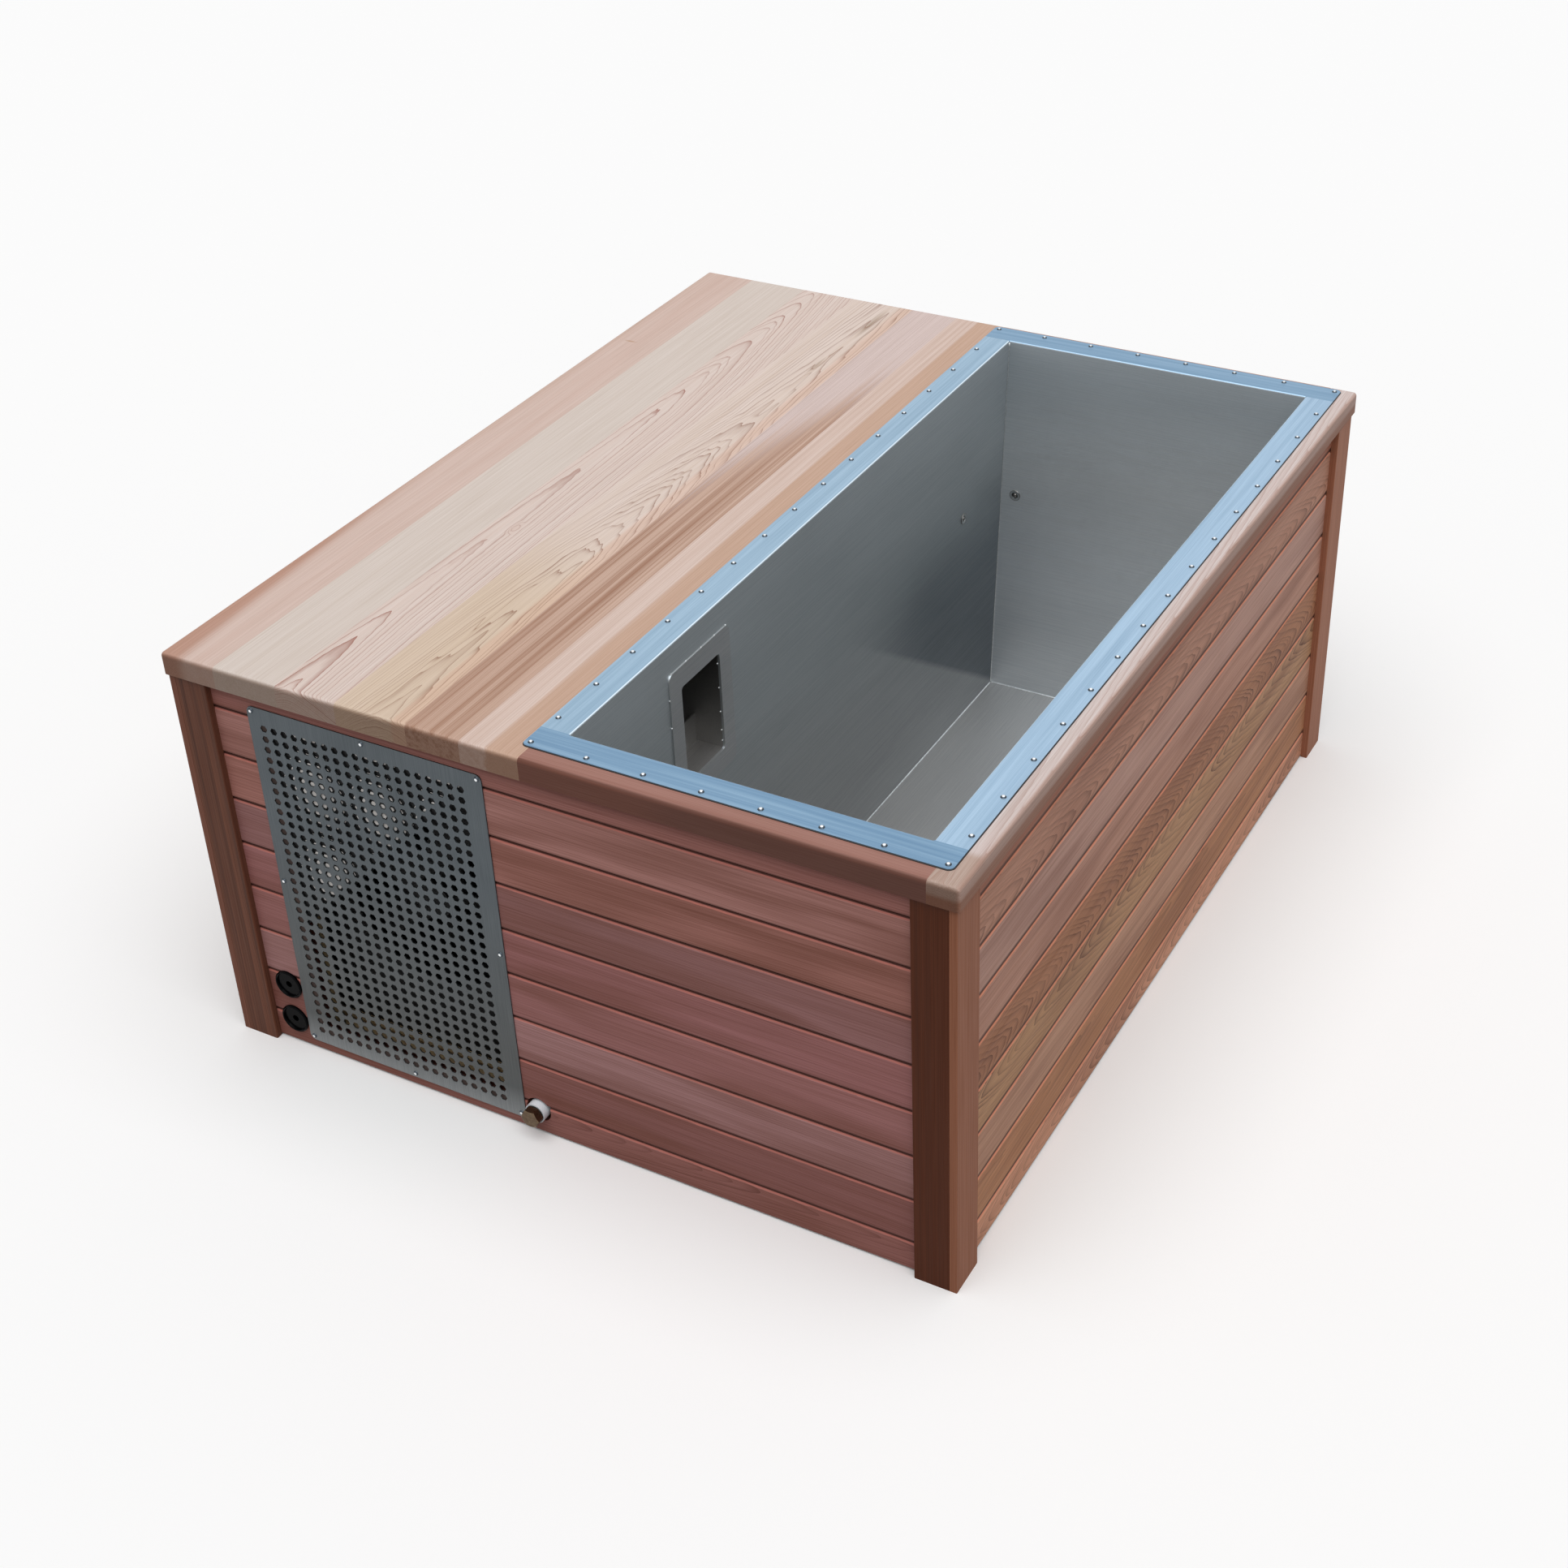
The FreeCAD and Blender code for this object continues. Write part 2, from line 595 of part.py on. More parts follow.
screw_xs = (grille_left + s.grille_screw_inset, (grille_left + grille_right) / 2,
            grille_right - s.grille_screw_inset)
screw_zs = (grille_low + s.grille_screw_inset, (grille_low + grille_top) / 2,
            grille_top - s.grille_screw_inset)
grille_heads = [(x, grille_face, z) for i, x in enumerate(screw_xs) for j, z in enumerate(screw_zs)
                if (i, j) != (1, 1)]
grille_holes = hole_set("grille_holes", grille_heads, "-Y", s.grille_screw_length + s.screw_play)


# Cladding: tongue-and-groove courses with V joints, nailed to the posts

def board_outline(side, low, high, grooved, tongued):
    """Section of one course: bevels on the face, a groove below and a tongue above."""
    face, bevel = clad_out[side], s.board_bevel
    turn = inward[side]
    tongue_near = s.board_thick / 2 - s.tongue_thick / 2
    tongue_far = s.board_thick / 2 + s.tongue_thick / 2
    groove_near = tongue_near - s.tongue_play / 2
    groove_far = tongue_far + s.tongue_play / 2

    def at(depth, height):
        return face + as_size(depth) * turn, height

    outline = [at(bevel, low), at(0, low + bevel)] if grooved else [at(0, low)]
    if tongued:
        tip = high + s.tongue_long
        outline += [at(0, high - bevel), at(bevel, high), at(tongue_near, high), at(tongue_near, tip),
                    at(tongue_far, tip), at(tongue_far, high), at(s.board_thick, high)]
    else:
        outline += [at(0, high), at(s.board_thick, high)]
    outline.append(at(s.board_thick, low))
    if grooved:
        root = low + s.tongue_long + s.tongue_play
        outline += [at(groove_far, low), at(groove_far, root), at(groove_near, root), at(groove_near, low)]
    return outline


def cladding(side, runs_of):
    """All the boards of one side; runs_of gives the start and end of each board in a course."""
    plane = "YZ_Plane" if side in ("front", "rear") else "XZ_Plane"
    boards = []
    for i in range(courses + 2):
        below = s.board_first + s.board_cover * (i - 1) + s.board_joint / 2
        above = s.board_first + s.board_cover * i - s.board_joint / 2
        low = s.board_floor_gap if i == 0 else below
        high = slab_low if i == courses + 1 else above
        outline = board_outline(side, low, high, i > 0, i <= courses)
        for j, (start, end) in enumerate(runs_of(i)):
            boards.append(prism(f"{side}_board_{i}_{j}", plane, outline, start, end - start))
    return group(f"{side}_boards", *boards)


def front_runs(course):
    if 1 <= course <= courses:
        return [(clad_out["left"], opening_left), (opening_right, clad_out["right"])]
    return [(clad_out["left"], clad_out["right"])]


def rear_runs(course):
    return [(clad_out["left"], clad_out["right"])]


def side_runs(course):
    return [(clad_in["front"], clad_in["rear"])]


front_cuts = [rod("drain_way", s.drain_pipe_outer + s.drain_hole_play,
                  (drain_x, clad_in["front"], s.drain_height), s.board_thick, "-Y")]
for name, height in grommet_heights.items():
    front_cuts.append(rod(f"{name}_grommet_way", s.grommet_neck + s.grommet_play,
                          (grommet_x, clad_in["front"], height), s.board_thick, "-Y"))
front_cuts.append(grille_holes)
node("front_cladding", cut("front_cladding", cladding("front", front_runs), *front_cuts))
node("rear_cladding", cladding("rear", rear_runs))
node("left_cladding", cladding("left", side_runs))
node("right_cladding", cladding("right", side_runs))


# Corner trims: on each corner the board on the side laps the end of the one on the front or rear

for side in ("left", "right"):
    for end in ("front", "rear"):
        inner_x, inner_y = clad_out[side], clad_out[end]
        outer_x, outer_y = trim_out[side], trim_out[end]
        side_low = (min(outer_x.number, inner_x.number) == outer_x.number)
        end_low = (min(outer_y.number, inner_y.number) == outer_y.number)
        lap_y = outer_y + s.trim_width * inward[end]
        xs = (outer_x, inner_x) if side_low else (inner_x, outer_x)
        ys = (outer_y, lap_y) if end_low else (lap_y, outer_y)
        trim = box(f"{side}_{end}_trim_blank", (xs[0], ys[0], 0), (xs[1], ys[1], slab_low))
        node(f"{side}_trim_{end}", rounded(f"{side}_trim_{end}", trim,
                                           (s.trim_round, {"x": outer_x, "y": lap_y}),
                                           (s.trim_round, {"x": outer_x, "y": outer_y})))
        start_x = inner_x + s.trim_joint * inward[side]
        stop_x = outer_x + s.trim_width * inward[side]
        xs = (start_x, stop_x) if side_low else (stop_x, start_x)
        ys = (outer_y, inner_y) if end_low else (inner_y, outer_y)
        trim = box(f"{end}_{side}_trim_blank", (xs[0], ys[0], 0), (xs[1], ys[1], slab_low))
        node(f"{end}_trim_{side}", rounded(f"{end}_trim_{side}", trim,
                                           (s.trim_round, {"y": outer_y, "x": stop_x})))


# Rim screws: a row on the front and rear flanges, and evenly spaced rows along the sides

flange_top = s.deck_height + s.sheet_thick
row_left = basin_left - s.flange_width + s.rim_screw_inset
row_right = basin_right + s.flange_width - s.rim_screw_inset
row_front = basin_front - s.flange_width + s.rim_screw_inset
row_rear = basin_rear + s.flange_width - s.rim_screw_inset
row_gaps = round(s.rim_screw_gaps.number)
rim_heads = [(row_left + (row_right - row_left) * i / row_gaps, y, flange_top)
             for y in (row_front, row_rear) for i in range(row_gaps + 1)]
side_count = math.floor((row_rear - row_front - s.flange_width).number / s.rim_screw_pitch.number)
rim_heads += [(x, row_rear - s.rim_screw_pitch * (i + 1), flange_top)
              for x in (row_left, row_right) for i in range(side_count)]
node("rim_screws", screw_set("rim_screws", s.rim_screw_length, rim_heads, "+Z"))
rim_holes = hole_set("rim_holes", rim_heads, "+Z", s.rim_screw_length + s.screw_play)


# Timber deck: the panel's boards, and rails round the rest of the basin, under the flange's screws

board_seams = [left]
for width in (s.board_one, s.board_two, s.board_three, s.board_four, s.board_five):
    board_seams.append(board_seams[-1] + width)
board_seams.append(panel_right)


def deck_piece(label, low, high, edges, drilled):
    """A deck timber with its outer edges rounded and pilot holes where rim screws enter it."""
    blank = box(label + "_blank", (low[0], low[1], slab_low), (high[0], high[1], s.deck_height))
    picks = []
    for letter, plane in edges:
        picks.append((s.slab_round, {letter: plane, "z": s.deck_height}))
    corners = [(a, b) for a in edges for b in edges if a[0] == "x" and b[0] == "y"]
    for (_, plane_x), (_, plane_y) in corners:
        picks.append((s.slab_round, {"x": plane_x, "y": plane_y}))
    piece = rounded(label + "_rounded" if drilled else label, blank, *picks)
    if drilled:
        piece = cut(label, piece, rim_holes)
    return node(label, piece)


ends = [("y", front), ("y", rear)]
for i, (near, far) in enumerate(zip(board_seams, board_seams[1:]), start=1):
    edges = ends + [("x", left)] if i == 1 else ends
    deck_piece(f"top_board_{i}", (near, front), (far, rear), edges, far is panel_right)
front_rail_end = basin_front - s.sheet_thick - s.basin_clearance
rear_rail_end = basin_rear + s.sheet_thick + s.basin_clearance
deck_piece("front_rail", (panel_right, front), (rail_left, front_rail_end), [("y", front)], True)
deck_piece("rear_rail", (panel_right, rear_rail_end), (rail_left, rear), [("y", rear)], True)
deck_piece("right_rail", (rail_left, front), (right, rear), ends + [("x", right)], True)
node("rim_battens", group(
    "rim_battens",
    box("rim_batten_left", (panel_right, front_rail_end, slab_low),
        (basin_left - s.sheet_thick - s.basin_clearance, rear_rail_end, s.deck_height)),
    box("rim_batten_right", (basin_right + s.sheet_thick + s.basin_clearance, front_rail_end, slab_low),
        (rail_left, rear_rail_end, s.deck_height))))


# Skimmer, return socket and drain places in the basin's walls

wall_out = basin_left - s.sheet_thick
mouth_front = case_rear + s.case_off_skimmer + s.sheet_thick
mouth_rear = mouth_front + s.skimmer_width
mouth_top = s.deck_height - s.skimmer_below_deck
mouth_low = mouth_top - s.skimmer_height
drain_y = basin_front + s.drain_from_front
left_socket_y = basin_rear - s.left_socket_from_rear
rear_socket_x = basin_left + s.rear_socket_from_left
rear_wall_rise = flange_top - s.floor_height
rear_socket_y = basin_rear - s.basin_lean * (flange_top - rear_return_height) / rear_wall_rise
return_x = wall_out - s.return_off_wall
return_y = clad_in["rear"] - s.return_off_rear


# Basin: each wall folds over into its part of the rim flange; front and rear flanges take the corners

flange_left, flange_right = basin_left - s.flange_width, basin_right + s.flange_width
flange_front, flange_rear = basin_front - s.flange_width, basin_rear + s.flange_width


def folded(label, wall, flange_low, flange_high, bend, tools):
    """A wall with its flange, the fold rounded, and holes for the screws and fittings."""
    flange = box(label + "_flange", (*flange_low, s.deck_height), (*flange_high, flange_top))
    fold = rounded(label + "_fold", fuse(label + "_sheet", wall, flange),
                   (s.bend_round, {**bend, "z": flange_top}))
    return node(label, cut(label, fold, rim_holes, *tools))


def side_outline():
    outer_front = basin_front - s.sheet_thick
    return [(outer_front, s.floor_height), (basin_foot + s.sheet_thick, s.floor_height),
            (basin_rear + s.sheet_thick, s.deck_height), (outer_front, s.deck_height)]


mouth_blank = box("mouth_blank", (wall_out, mouth_front, mouth_low), (basin_left, mouth_rear, mouth_top))
mouth_tool = rounded("mouth_tool", mouth_blank, *[(s.skimmer_mouth_corner, {"y": y, "z": z})
                                                  for y in (mouth_front, mouth_rear)
                                                  for z in (mouth_low, mouth_top)])
socket_way = s.socket_radius + s.screw_play
left_tools = [
    mouth_tool,
    rod("left_socket_way", socket_way, (wall_out, left_socket_y, return_height), s.sheet_thick, "+X"),
    rod("drain_mouth", s.drain_pipe_bore, (wall_out, drain_y, s.drain_height), s.sheet_thick, "+X"),
]
folded("basin_left_wall", prism("left_plate", "YZ_Plane", side_outline(), wall_out, s.sheet_thick),
       (flange_left, basin_front), (basin_left, basin_rear), {"x": basin_left}, left_tools)
folded("basin_right_wall", prism("right_plate", "YZ_Plane", side_outline(), basin_right, s.sheet_thick),
       (basin_right, basin_front), (flange_right, basin_rear), {"x": basin_right}, [])


def end_wall(label, wall, bend_y, strip_front, strip_rear, outer_y, tools):
    """Front or rear wall: its fold, then the flange's two corner squares, rounded at the outer corners."""
    flange = box(label + "_flange", (basin_left, strip_front, s.deck_height),
                 (basin_right, strip_rear, flange_top))
    fold = rounded(label + "_fold", fuse(label + "_sheet", wall, flange),
                   (s.bend_round, {"y": bend_y, "z": flange_top}))
    corners = []
    for side, near, far, outer_x in (("left", flange_left, basin_left, flange_left),
                                     ("right", basin_right, flange_right, flange_right)):
        blank = box(f"{label}_{side}_blank", (near, strip_front, s.deck_height),
                    (far, strip_rear, flange_top))
        corners.append(rounded(f"{label}_{side}", blank, (s.flange_corner, {"x": outer_x, "y": outer_y})))
    return node(label, cut(label, fuse(label + "_whole", fold, *corners), rim_holes, *tools))


front_plate = box("front_plate", (basin_left, basin_front - s.sheet_thick, s.floor_height),
                  (basin_right, basin_front, s.deck_height))
end_wall("basin_front_wall", front_plate, basin_front, flange_front, basin_front, flange_front, [])
rear_outline = [(basin_foot, s.floor_height), (basin_foot + s.sheet_thick, s.floor_height),
                (basin_rear + s.sheet_thick, flange_top), (basin_rear, flange_top)]
rear_plate = prism("rear_plate", "YZ_Plane", rear_outline, basin_left, s.basin_width)
rear_tools = [rod("rear_socket_way", socket_way, (rear_socket_x, rear_socket_y - s.socket_radius,
                                                  rear_return_height), s.socket_radius * 2, "+Y")]
end_wall("basin_rear_wall", rear_plate, basin_rear, basin_rear, flange_rear, flange_rear, rear_tools)
node("basin_floor", box("basin_floor", (wall_out, basin_front - s.sheet_thick, bearer_top),
                        (basin_right + s.sheet_thick, basin_foot + s.sheet_thick, s.floor_height)))


# Skimmer: a frame plate tacked to the wall, and a welded box with a weir behind it

plate_low = (basin_left, mouth_front - s.skimmer_frame_side, mouth_low - s.skimmer_frame_end)
plate_high = (basin_left + s.sheet_thick, mouth_rear + s.skimmer_frame_side, mouth_top + s.skimmer_frame_end)
plate = rounded("frame_plate", box("frame_blank", plate_low, plate_high),
                *[(s.skimmer_frame_corner, {"y": y, "z": z})
                  for y in (plate_low[1], plate_high[1]) for z in (plate_low[2], plate_high[2])])
frame_mouth = rounded("frame_mouth", box("frame_mouth_blank", (basin_left, mouth_front, mouth_low),
                                         (basin_left + s.sheet_thick, mouth_rear, mouth_top)),
                      *[(s.skimmer_mouth_corner, {"y": y, "z": z})
                        for y in (mouth_front, mouth_rear) for z in (mouth_low, mouth_top)])
node("skimmer_frame", cut("skimmer_frame", plate, frame_mouth))

box_back = wall_out - s.skimmer_depth
box_out = {"front": mouth_front - s.sheet_thick, "rear": mouth_rear + s.sheet_thick,
           "low": mouth_low - s.sheet_thick, "top": mouth_top + s.sheet_thick}
filter_x = box_back + s.sheet_thick + s.filter_room + s.filter_radius
filter_y = (mouth_front + mouth_rear) / 2
weir_x = wall_out - s.weir_back
box_floor = cut("box_floor", box("box_floor_blank", (box_back, box_out["front"], box_out["low"]),
                                 (wall_out, box_out["rear"], mouth_low)),
                rod("suction_way", s.suction_radius + s.screw_play, (filter_x, filter_y, box_out["low"]),
                    s.sheet_thick, "+Z"))
node("skimmer_box", group(
    "skimmer_box", box_floor,
    box("box_front", (box_back, box_out["front"], mouth_low), (wall_out, mouth_front, mouth_top)),
    box("box_rear", (box_back, mouth_rear, mouth_low), (wall_out, box_out["rear"], mouth_top)),
    box("box_top", (box_back, box_out["front"], mouth_top), (wall_out, box_out["rear"], box_out["top"])),
    box("box_back", (box_back, mouth_front, mouth_low), (box_back + s.sheet_thick, mouth_rear, mouth_top)),
    box("weir", (weir_x - s.sheet_thick, mouth_front, mouth_low),
        (weir_x, mouth_rear, mouth_low + s.weir_height))))


# Filter cartridge: a pleated ring between two end caps, standing over the suction pipe

def filter_shape():
    outer, deep = s.filter_radius.number, s.filter_pleat_deep.number
    cap, tall = s.filter_cap.number, s.filter_height.number
    pleats = round(s.filter_pleats.number)
    ring = []
    for i in range(2 * pleats):
        reach = outer - 1 - (deep if i % 2 else 0)
        angle = math.pi * i / pleats
        ring.append(FreeCAD.Vector(reach * math.cos(angle), reach * math.sin(angle), cap))
    paper = Part.Face(Part.makePolygon(ring + ring[:1])).extrude(FreeCAD.Vector(0, 0, tall - 2 * cap))
    caps = [Part.makeCylinder(outer, cap, FreeCAD.Vector(0, 0, z)) for z in (0, tall - cap)]
    bore = Part.makeCylinder(s.filter_bore.number, tall)
    return paper.multiFuse(caps).cut(bore)


node("filter_cartridge", place(shaped("filter_cartridge", filter_shape()), (filter_x, filter_y, mouth_low)))


# Return sockets: welded through the walls, each reaching back to the return pipe

left_socket_end = return_x + s.pipe_radius
rear_socket_end = return_y - s.pipe_radius
left_socket_start = basin_left + s.socket_rise
rear_socket_start = rear_socket_y - s.socket_rise
node("return_sockets", group(
    "return_sockets",
    tube("left_socket", s.socket_radius, s.socket_bore, (left_socket_end, left_socket_y, return_height),
         left_socket_start - left_socket_end, "+X"),
    tube("rear_socket", s.socket_radius, s.socket_bore,
         (rear_socket_x, rear_socket_start, rear_return_height),
         rear_socket_end - rear_socket_start, "+Y")))


# Foam: boards between the bearers under the basin, and against its walls

floor_foam = []
for i in range(bearer_count - 1):
    foam_front = clad_in["front"] + bearer_pitch * i + s.bearer_width + s.foam_play
    foam_rear = clad_in["front"] + bearer_pitch * (i + 1) - s.foam_play
    floor_foam.append(box(f"floor_foam_{i}", (basin_left, foam_front, bearer_top - s.foam_thick),
                          (basin_right, foam_rear, bearer_top)))

foam_top = rail_low - s.foam_play
left_foam = cut(
    "left_foam",
    box("left_foam_blank", (wall_out - s.foam_thick, basin_front, s.floor_height),
        (wall_out, basin_foot, foam_top)),
    box("foam_skimmer_way",
        (wall_out - s.foam_thick, box_out["front"] - s.foam_play, box_out["low"] - s.foam_play),
        (wall_out, box_out["rear"] + s.foam_play, foam_top)),
    rod("foam_socket_way", s.socket_radius + s.foam_play,
        (wall_out - s.foam_thick, left_socket_y, return_height), s.foam_thick, "+X"),
    rod("foam_drain_way", s.drain_pipe_outer + s.foam_play,
        (wall_out - s.foam_thick, drain_y, s.drain_height), s.foam_thick, "+X"))
right_out = basin_right + s.sheet_thick
front_out = basin_front - s.sheet_thick
rear_foam_front = clad_in["rear"] - s.foam_thick
node("foam_insulation", group(
    "foam_insulation", *floor_foam, left_foam,
    box("right_foam", (right_out, basin_front, s.floor_height),
        (right_out + s.foam_thick, basin_foot, foam_top)),
    box("front_foam", (basin_left, front_out - s.foam_thick, bearer_top), (basin_right, front_out, foam_top)),
    box("rear_foam_left", (rear_socket_x + s.foam_thick * 4, rear_foam_front, bearer_top),
        (basin_stud - s.foam_play, clad_in["rear"], foam_top)),
    box("rear_foam_right", (basin_stud + s.stud_thick + s.foam_play, rear_foam_front, bearer_top),
        (basin_right, clad_in["rear"], foam_top))))


# Grille: one plate with a square grid of hexagonal holes, screwed over the opening in the cladding

def grille_shape():
    """The plate in strips, one to a row of holes, joined edge to edge."""
    pitch, thick = s.hole_pitch.number, s.grille_thick.number
    corner = s.hole_across.number / math.sqrt(3)
    low = numbers((grille_left, front_face, grille_low))
    high = numbers((grille_right, front_face, grille_top))
    first_x = low.x + s.hole_first_left.number
    first_z = low.z + s.hole_first_low.number
    columns = math.floor((high.x - s.hole_margin.number - first_x) / pitch) + 1
    rows = math.floor((high.z - s.hole_margin.number - first_z) / pitch) + 1
    angles = [math.radians(turn) for turn in range(360, -1, -60)]
    hexagon = [(corner * math.cos(angle), corner * math.sin(angle)) for angle in angles]
    seams = [low.z] + [first_z + pitch * (row + 0.5) for row in range(rows - 1)] + [high.z]
    strips = []
    for row, (foot, head) in enumerate(zip(seams, seams[1:])):
        outline = [(low.x, foot), (high.x, foot), (high.x, head), (low.x, head), (low.x, foot)]
        wires = [Part.makePolygon([FreeCAD.Vector(x, low.y, z) for x, z in outline])]
        for column in range(columns):
            x, z = first_x + column * pitch, first_z + row * pitch
            wires.append(Part.makePolygon([FreeCAD.Vector(x + dx, low.y, z + dz) for dx, dz in hexagon]))
        strip = Part.Face(wires).extrude(FreeCAD.Vector(0, -thick, 0))
        if row in (0, rows - 1):
            end = low.z if row == 0 else high.z
            corners = [edge for edge in strip.Edges if abs(edge.Length - thick) < NEAR
                       and abs(edge.CenterOfMass.z - end) < NEAR]
            strip = strip.makeFillet(s.grille_corner.number, corners)
        strips.append(strip.cut(grille_holes.Shape))
    return strips[0].multiFuse(strips[1:])


node("grille", shaped("grille", grille_shape()))
node("grille_screws", screw_set("grille_screws", s.grille_screw_length, grille_heads, "-Y"))


# Grommets: rubber bushings with a raised rim and a slit membrane for a cable or hose

lip_face = s.board_thick + s.grommet_lip_thick
for name, height in grommet_heights.items():
    rim_in = s.grommet_flange - s.grommet_rim
    skin_low = s.grommet_dish - s.grommet_skin
    outline = [
        (s.grommet_bore, s.grommet_dish), (rim_in, s.grommet_dish), (rim_in + 1, s.grommet_rise - 1),
        (rim_in + 2, s.grommet_rise),
        (s.grommet_flange - 2, s.grommet_rise), (s.grommet_flange, s.grommet_rise - 2), (s.grommet_flange, 0),
        (s.grommet_neck, 0), (s.grommet_neck, -s.board_thick),
        (s.grommet_neck + s.grommet_lip, -s.board_thick),
        (s.grommet_neck, -lip_face), (rim_in - 3, -lip_face), (rim_in - 3, skin_low),
        (s.grommet_bore, skin_low),
    ]
    node(f"{name}_grommet", turned(f"{name}_grommet", outline, (grommet_x, front_face, height), "-Y"))


# Drain: a plastic pipe from the basin's left wall to the front, closed by a hexagonal plug on a seal

node("drain_pipe", bent_tube(
    "drain_pipe", [(wall_out, drain_y, s.drain_height), (drain_x, drain_y, s.drain_height),
                   (drain_x, drain_end, s.drain_height)],
    s.drain_pipe_outer, s.drain_pipe_outer - s.drain_pipe_bore, s.drain_bend))

thread = s.drain_pipe_bore - s.plug_play
node("drain_seal", tube("drain_seal", s.seal_outer, thread + s.seal_play,
                        (drain_x, drain_end, s.drain_height), s.seal_thick, "-Y"))

plug_face = drain_end - s.seal_thick
plug_corner = s.plug_across / math.sqrt(3)
hexagon = [(plug_corner * math.cos(math.radians(a)) + drain_x,
            plug_corner * math.sin(math.radians(a)) + s.drain_height) for a in range(0, 360, 60)]
plug_hex = prism("plug_hex", "XZ_Plane", hexagon, plug_face - s.plug_head, s.plug_head)
face_radius = s.plug_across / 2 - s.plug_chamfer / 2
plug_round = turned("plug_round", [(0, 0), (plug_corner, 0), (plug_corner, s.plug_head - s.plug_chamfer),
                                   (face_radius, s.plug_head), (0, s.plug_head)],
                    (drain_x, plug_face, s.drain_height), "-Y")
plug_head = doc.addObject("Part::MultiCommon", "plug_head")
plug_head.Shapes = [plug_hex, plug_round]
plug_shank = rod("plug_shank", thread, (drain_x, plug_face, s.drain_height),
                 s.plug_thread + s.seal_thick, "+Y")
node("drain_plug", fuse("drain_plug", plug_head, plug_shank))


# Equipment deck on the bearers, clear of the drain pipe

deck_right = drain_x - s.drain_pipe_outer - s.drain_hole_play
node("equipment_deck", box(
    "equipment_deck", (clad_in["left"] + s.post_size, clad_in["front"] + s.post_size, bearer_top),
    (deck_right, clad_in["rear"] - s.post_size, deck_top)))


# Heat pump: a tray and a cover in four sheets, and a front panel with the fan's opening

in_left, in_right = case_left + s.case_sheet, case_right - s.case_sheet
in_front, in_rear = case_front + s.case_sheet, case_rear - s.case_sheet
in_low, in_top = deck_top + s.case_sheet, case_top - s.case_sheet
fan_x, fan_z = case_right - s.fan_from_right, deck_top + s.fan_up
exchanger_x = case_left + s.exchanger_left
exchanger_y = case_rear - s.exchanger_back
coil_left = case_left + s.coil_left
coil_right = in_right - s.coil_off_side
coil_front = in_rear - s.coil_deep

rear_sheet = cut(
    "cover_rear", box("cover_rear_blank", (in_left, in_rear, in_low), (in_right, case_rear, in_top)),
    box("coil_window", (coil_left + s.coil_off_foot, in_rear, in_low + s.coil_off_foot),
        (coil_right - s.coil_off_foot, case_rear, in_top - s.coil_off_foot)),
    rod("feed_way", s.pipe_radius + s.screw_play, (exchanger_x, in_rear, feed_height), s.case_sheet, "+Y"),
    rod("return_way", s.pipe_radius + s.screw_play, (exchanger_x, in_rear, return_height),
        s.case_sheet, "+Y"))
node("heat_pump_case", group(
    "heat_pump_case", rear_sheet,
    box("case_tray", (case_left, case_front, deck_top), (case_right, case_rear, in_low)),
    box("cover_left", (case_left, in_front, in_low), (in_left, case_rear, in_top)),
    box("cover_right", (in_right, in_front, in_low), (case_right, case_rear, in_top)),
    box("cover_top", (case_left, in_front, in_top), (case_right, case_rear, case_top))))
node("heat_pump_front", cut(
    "heat_pump_front", box("front_panel", (case_left, case_front, in_low), (case_right, in_front, case_top)),
    rod("fan_way", s.fan_radius + s.fan_tip_play, (fan_x, case_front, fan_z), s.case_sheet, "+Y")))


# Fan and its motor, which hangs on a strut from the tray to the top of the cover

fan_front = in_front + s.fan_behind_panel
fan_back = fan_front + s.fan_deep
motor_front = fan_back + s.fan_motor_gap
motor_back = motor_front + s.fan_motor_long


def fan_shape():
    """Hub and shaft with angled blades across the hub's depth; the axis is +Z from the hub's front."""
    hub, tip, deep = s.fan_hub.number, s.fan_radius.number, s.fan_deep.number
    shaft = deep + s.fan_motor_gap.number + s.shaft_seat.number
    pitch = s.fan_pitch.number
    blades = round(s.fan_blades.number)
    chord = (deep - 4) / math.sin(math.radians(pitch))
    flat = Part.makeBox(tip, chord, s.blade_thick.number,
                        FreeCAD.Vector(0, -chord / 2, -s.blade_thick.number / 2))
    flat.rotate(ORIGIN, FreeCAD.Vector(1, 0, 0), pitch)
    flat.translate(FreeCAD.Vector(0, 0, deep / 2))
    sweep = Part.makeCylinder(tip, deep).cut(Part.makeCylinder(hub - 2, deep))
    blade = flat.common(sweep)
    parts = [Part.makeCylinder(s.shaft_radius.number, shaft)]
    for i in range(blades):
        turn = blade.copy()
        turn.rotate(ORIGIN, FreeCAD.Vector(0, 0, 1), 360 * i / blades)
        parts.append(turn)
    return Part.makeCylinder(hub, deep).multiFuse(parts).removeSplitter()


node("fan", place(shaped("fan", fan_shape()), (fan_x, fan_front, fan_z), "+Y"))
bearing = s.shaft_radius + s.shaft_play
fan_seat = s.shaft_seat + 1
fan_motor = turned("fan_motor_can", [(bearing, 0), (s.fan_motor_radius - 3, 0), (s.fan_motor_radius, 3),
                                     (s.fan_motor_radius, s.fan_motor_long), (0, s.fan_motor_long),
                                     (0, fan_seat), (bearing, fan_seat)],
                   (fan_x, motor_front, fan_z), "+Y")
strut = box("fan_strut", (fan_x - s.strut_width / 2, motor_back, in_low),
            (fan_x + s.strut_width / 2, motor_back + s.strut_thick, in_top))
node("fan_motor", fuse("fan_motor", fan_motor, strut))


# Condenser coil behind the fan: end frames, fins and tubes

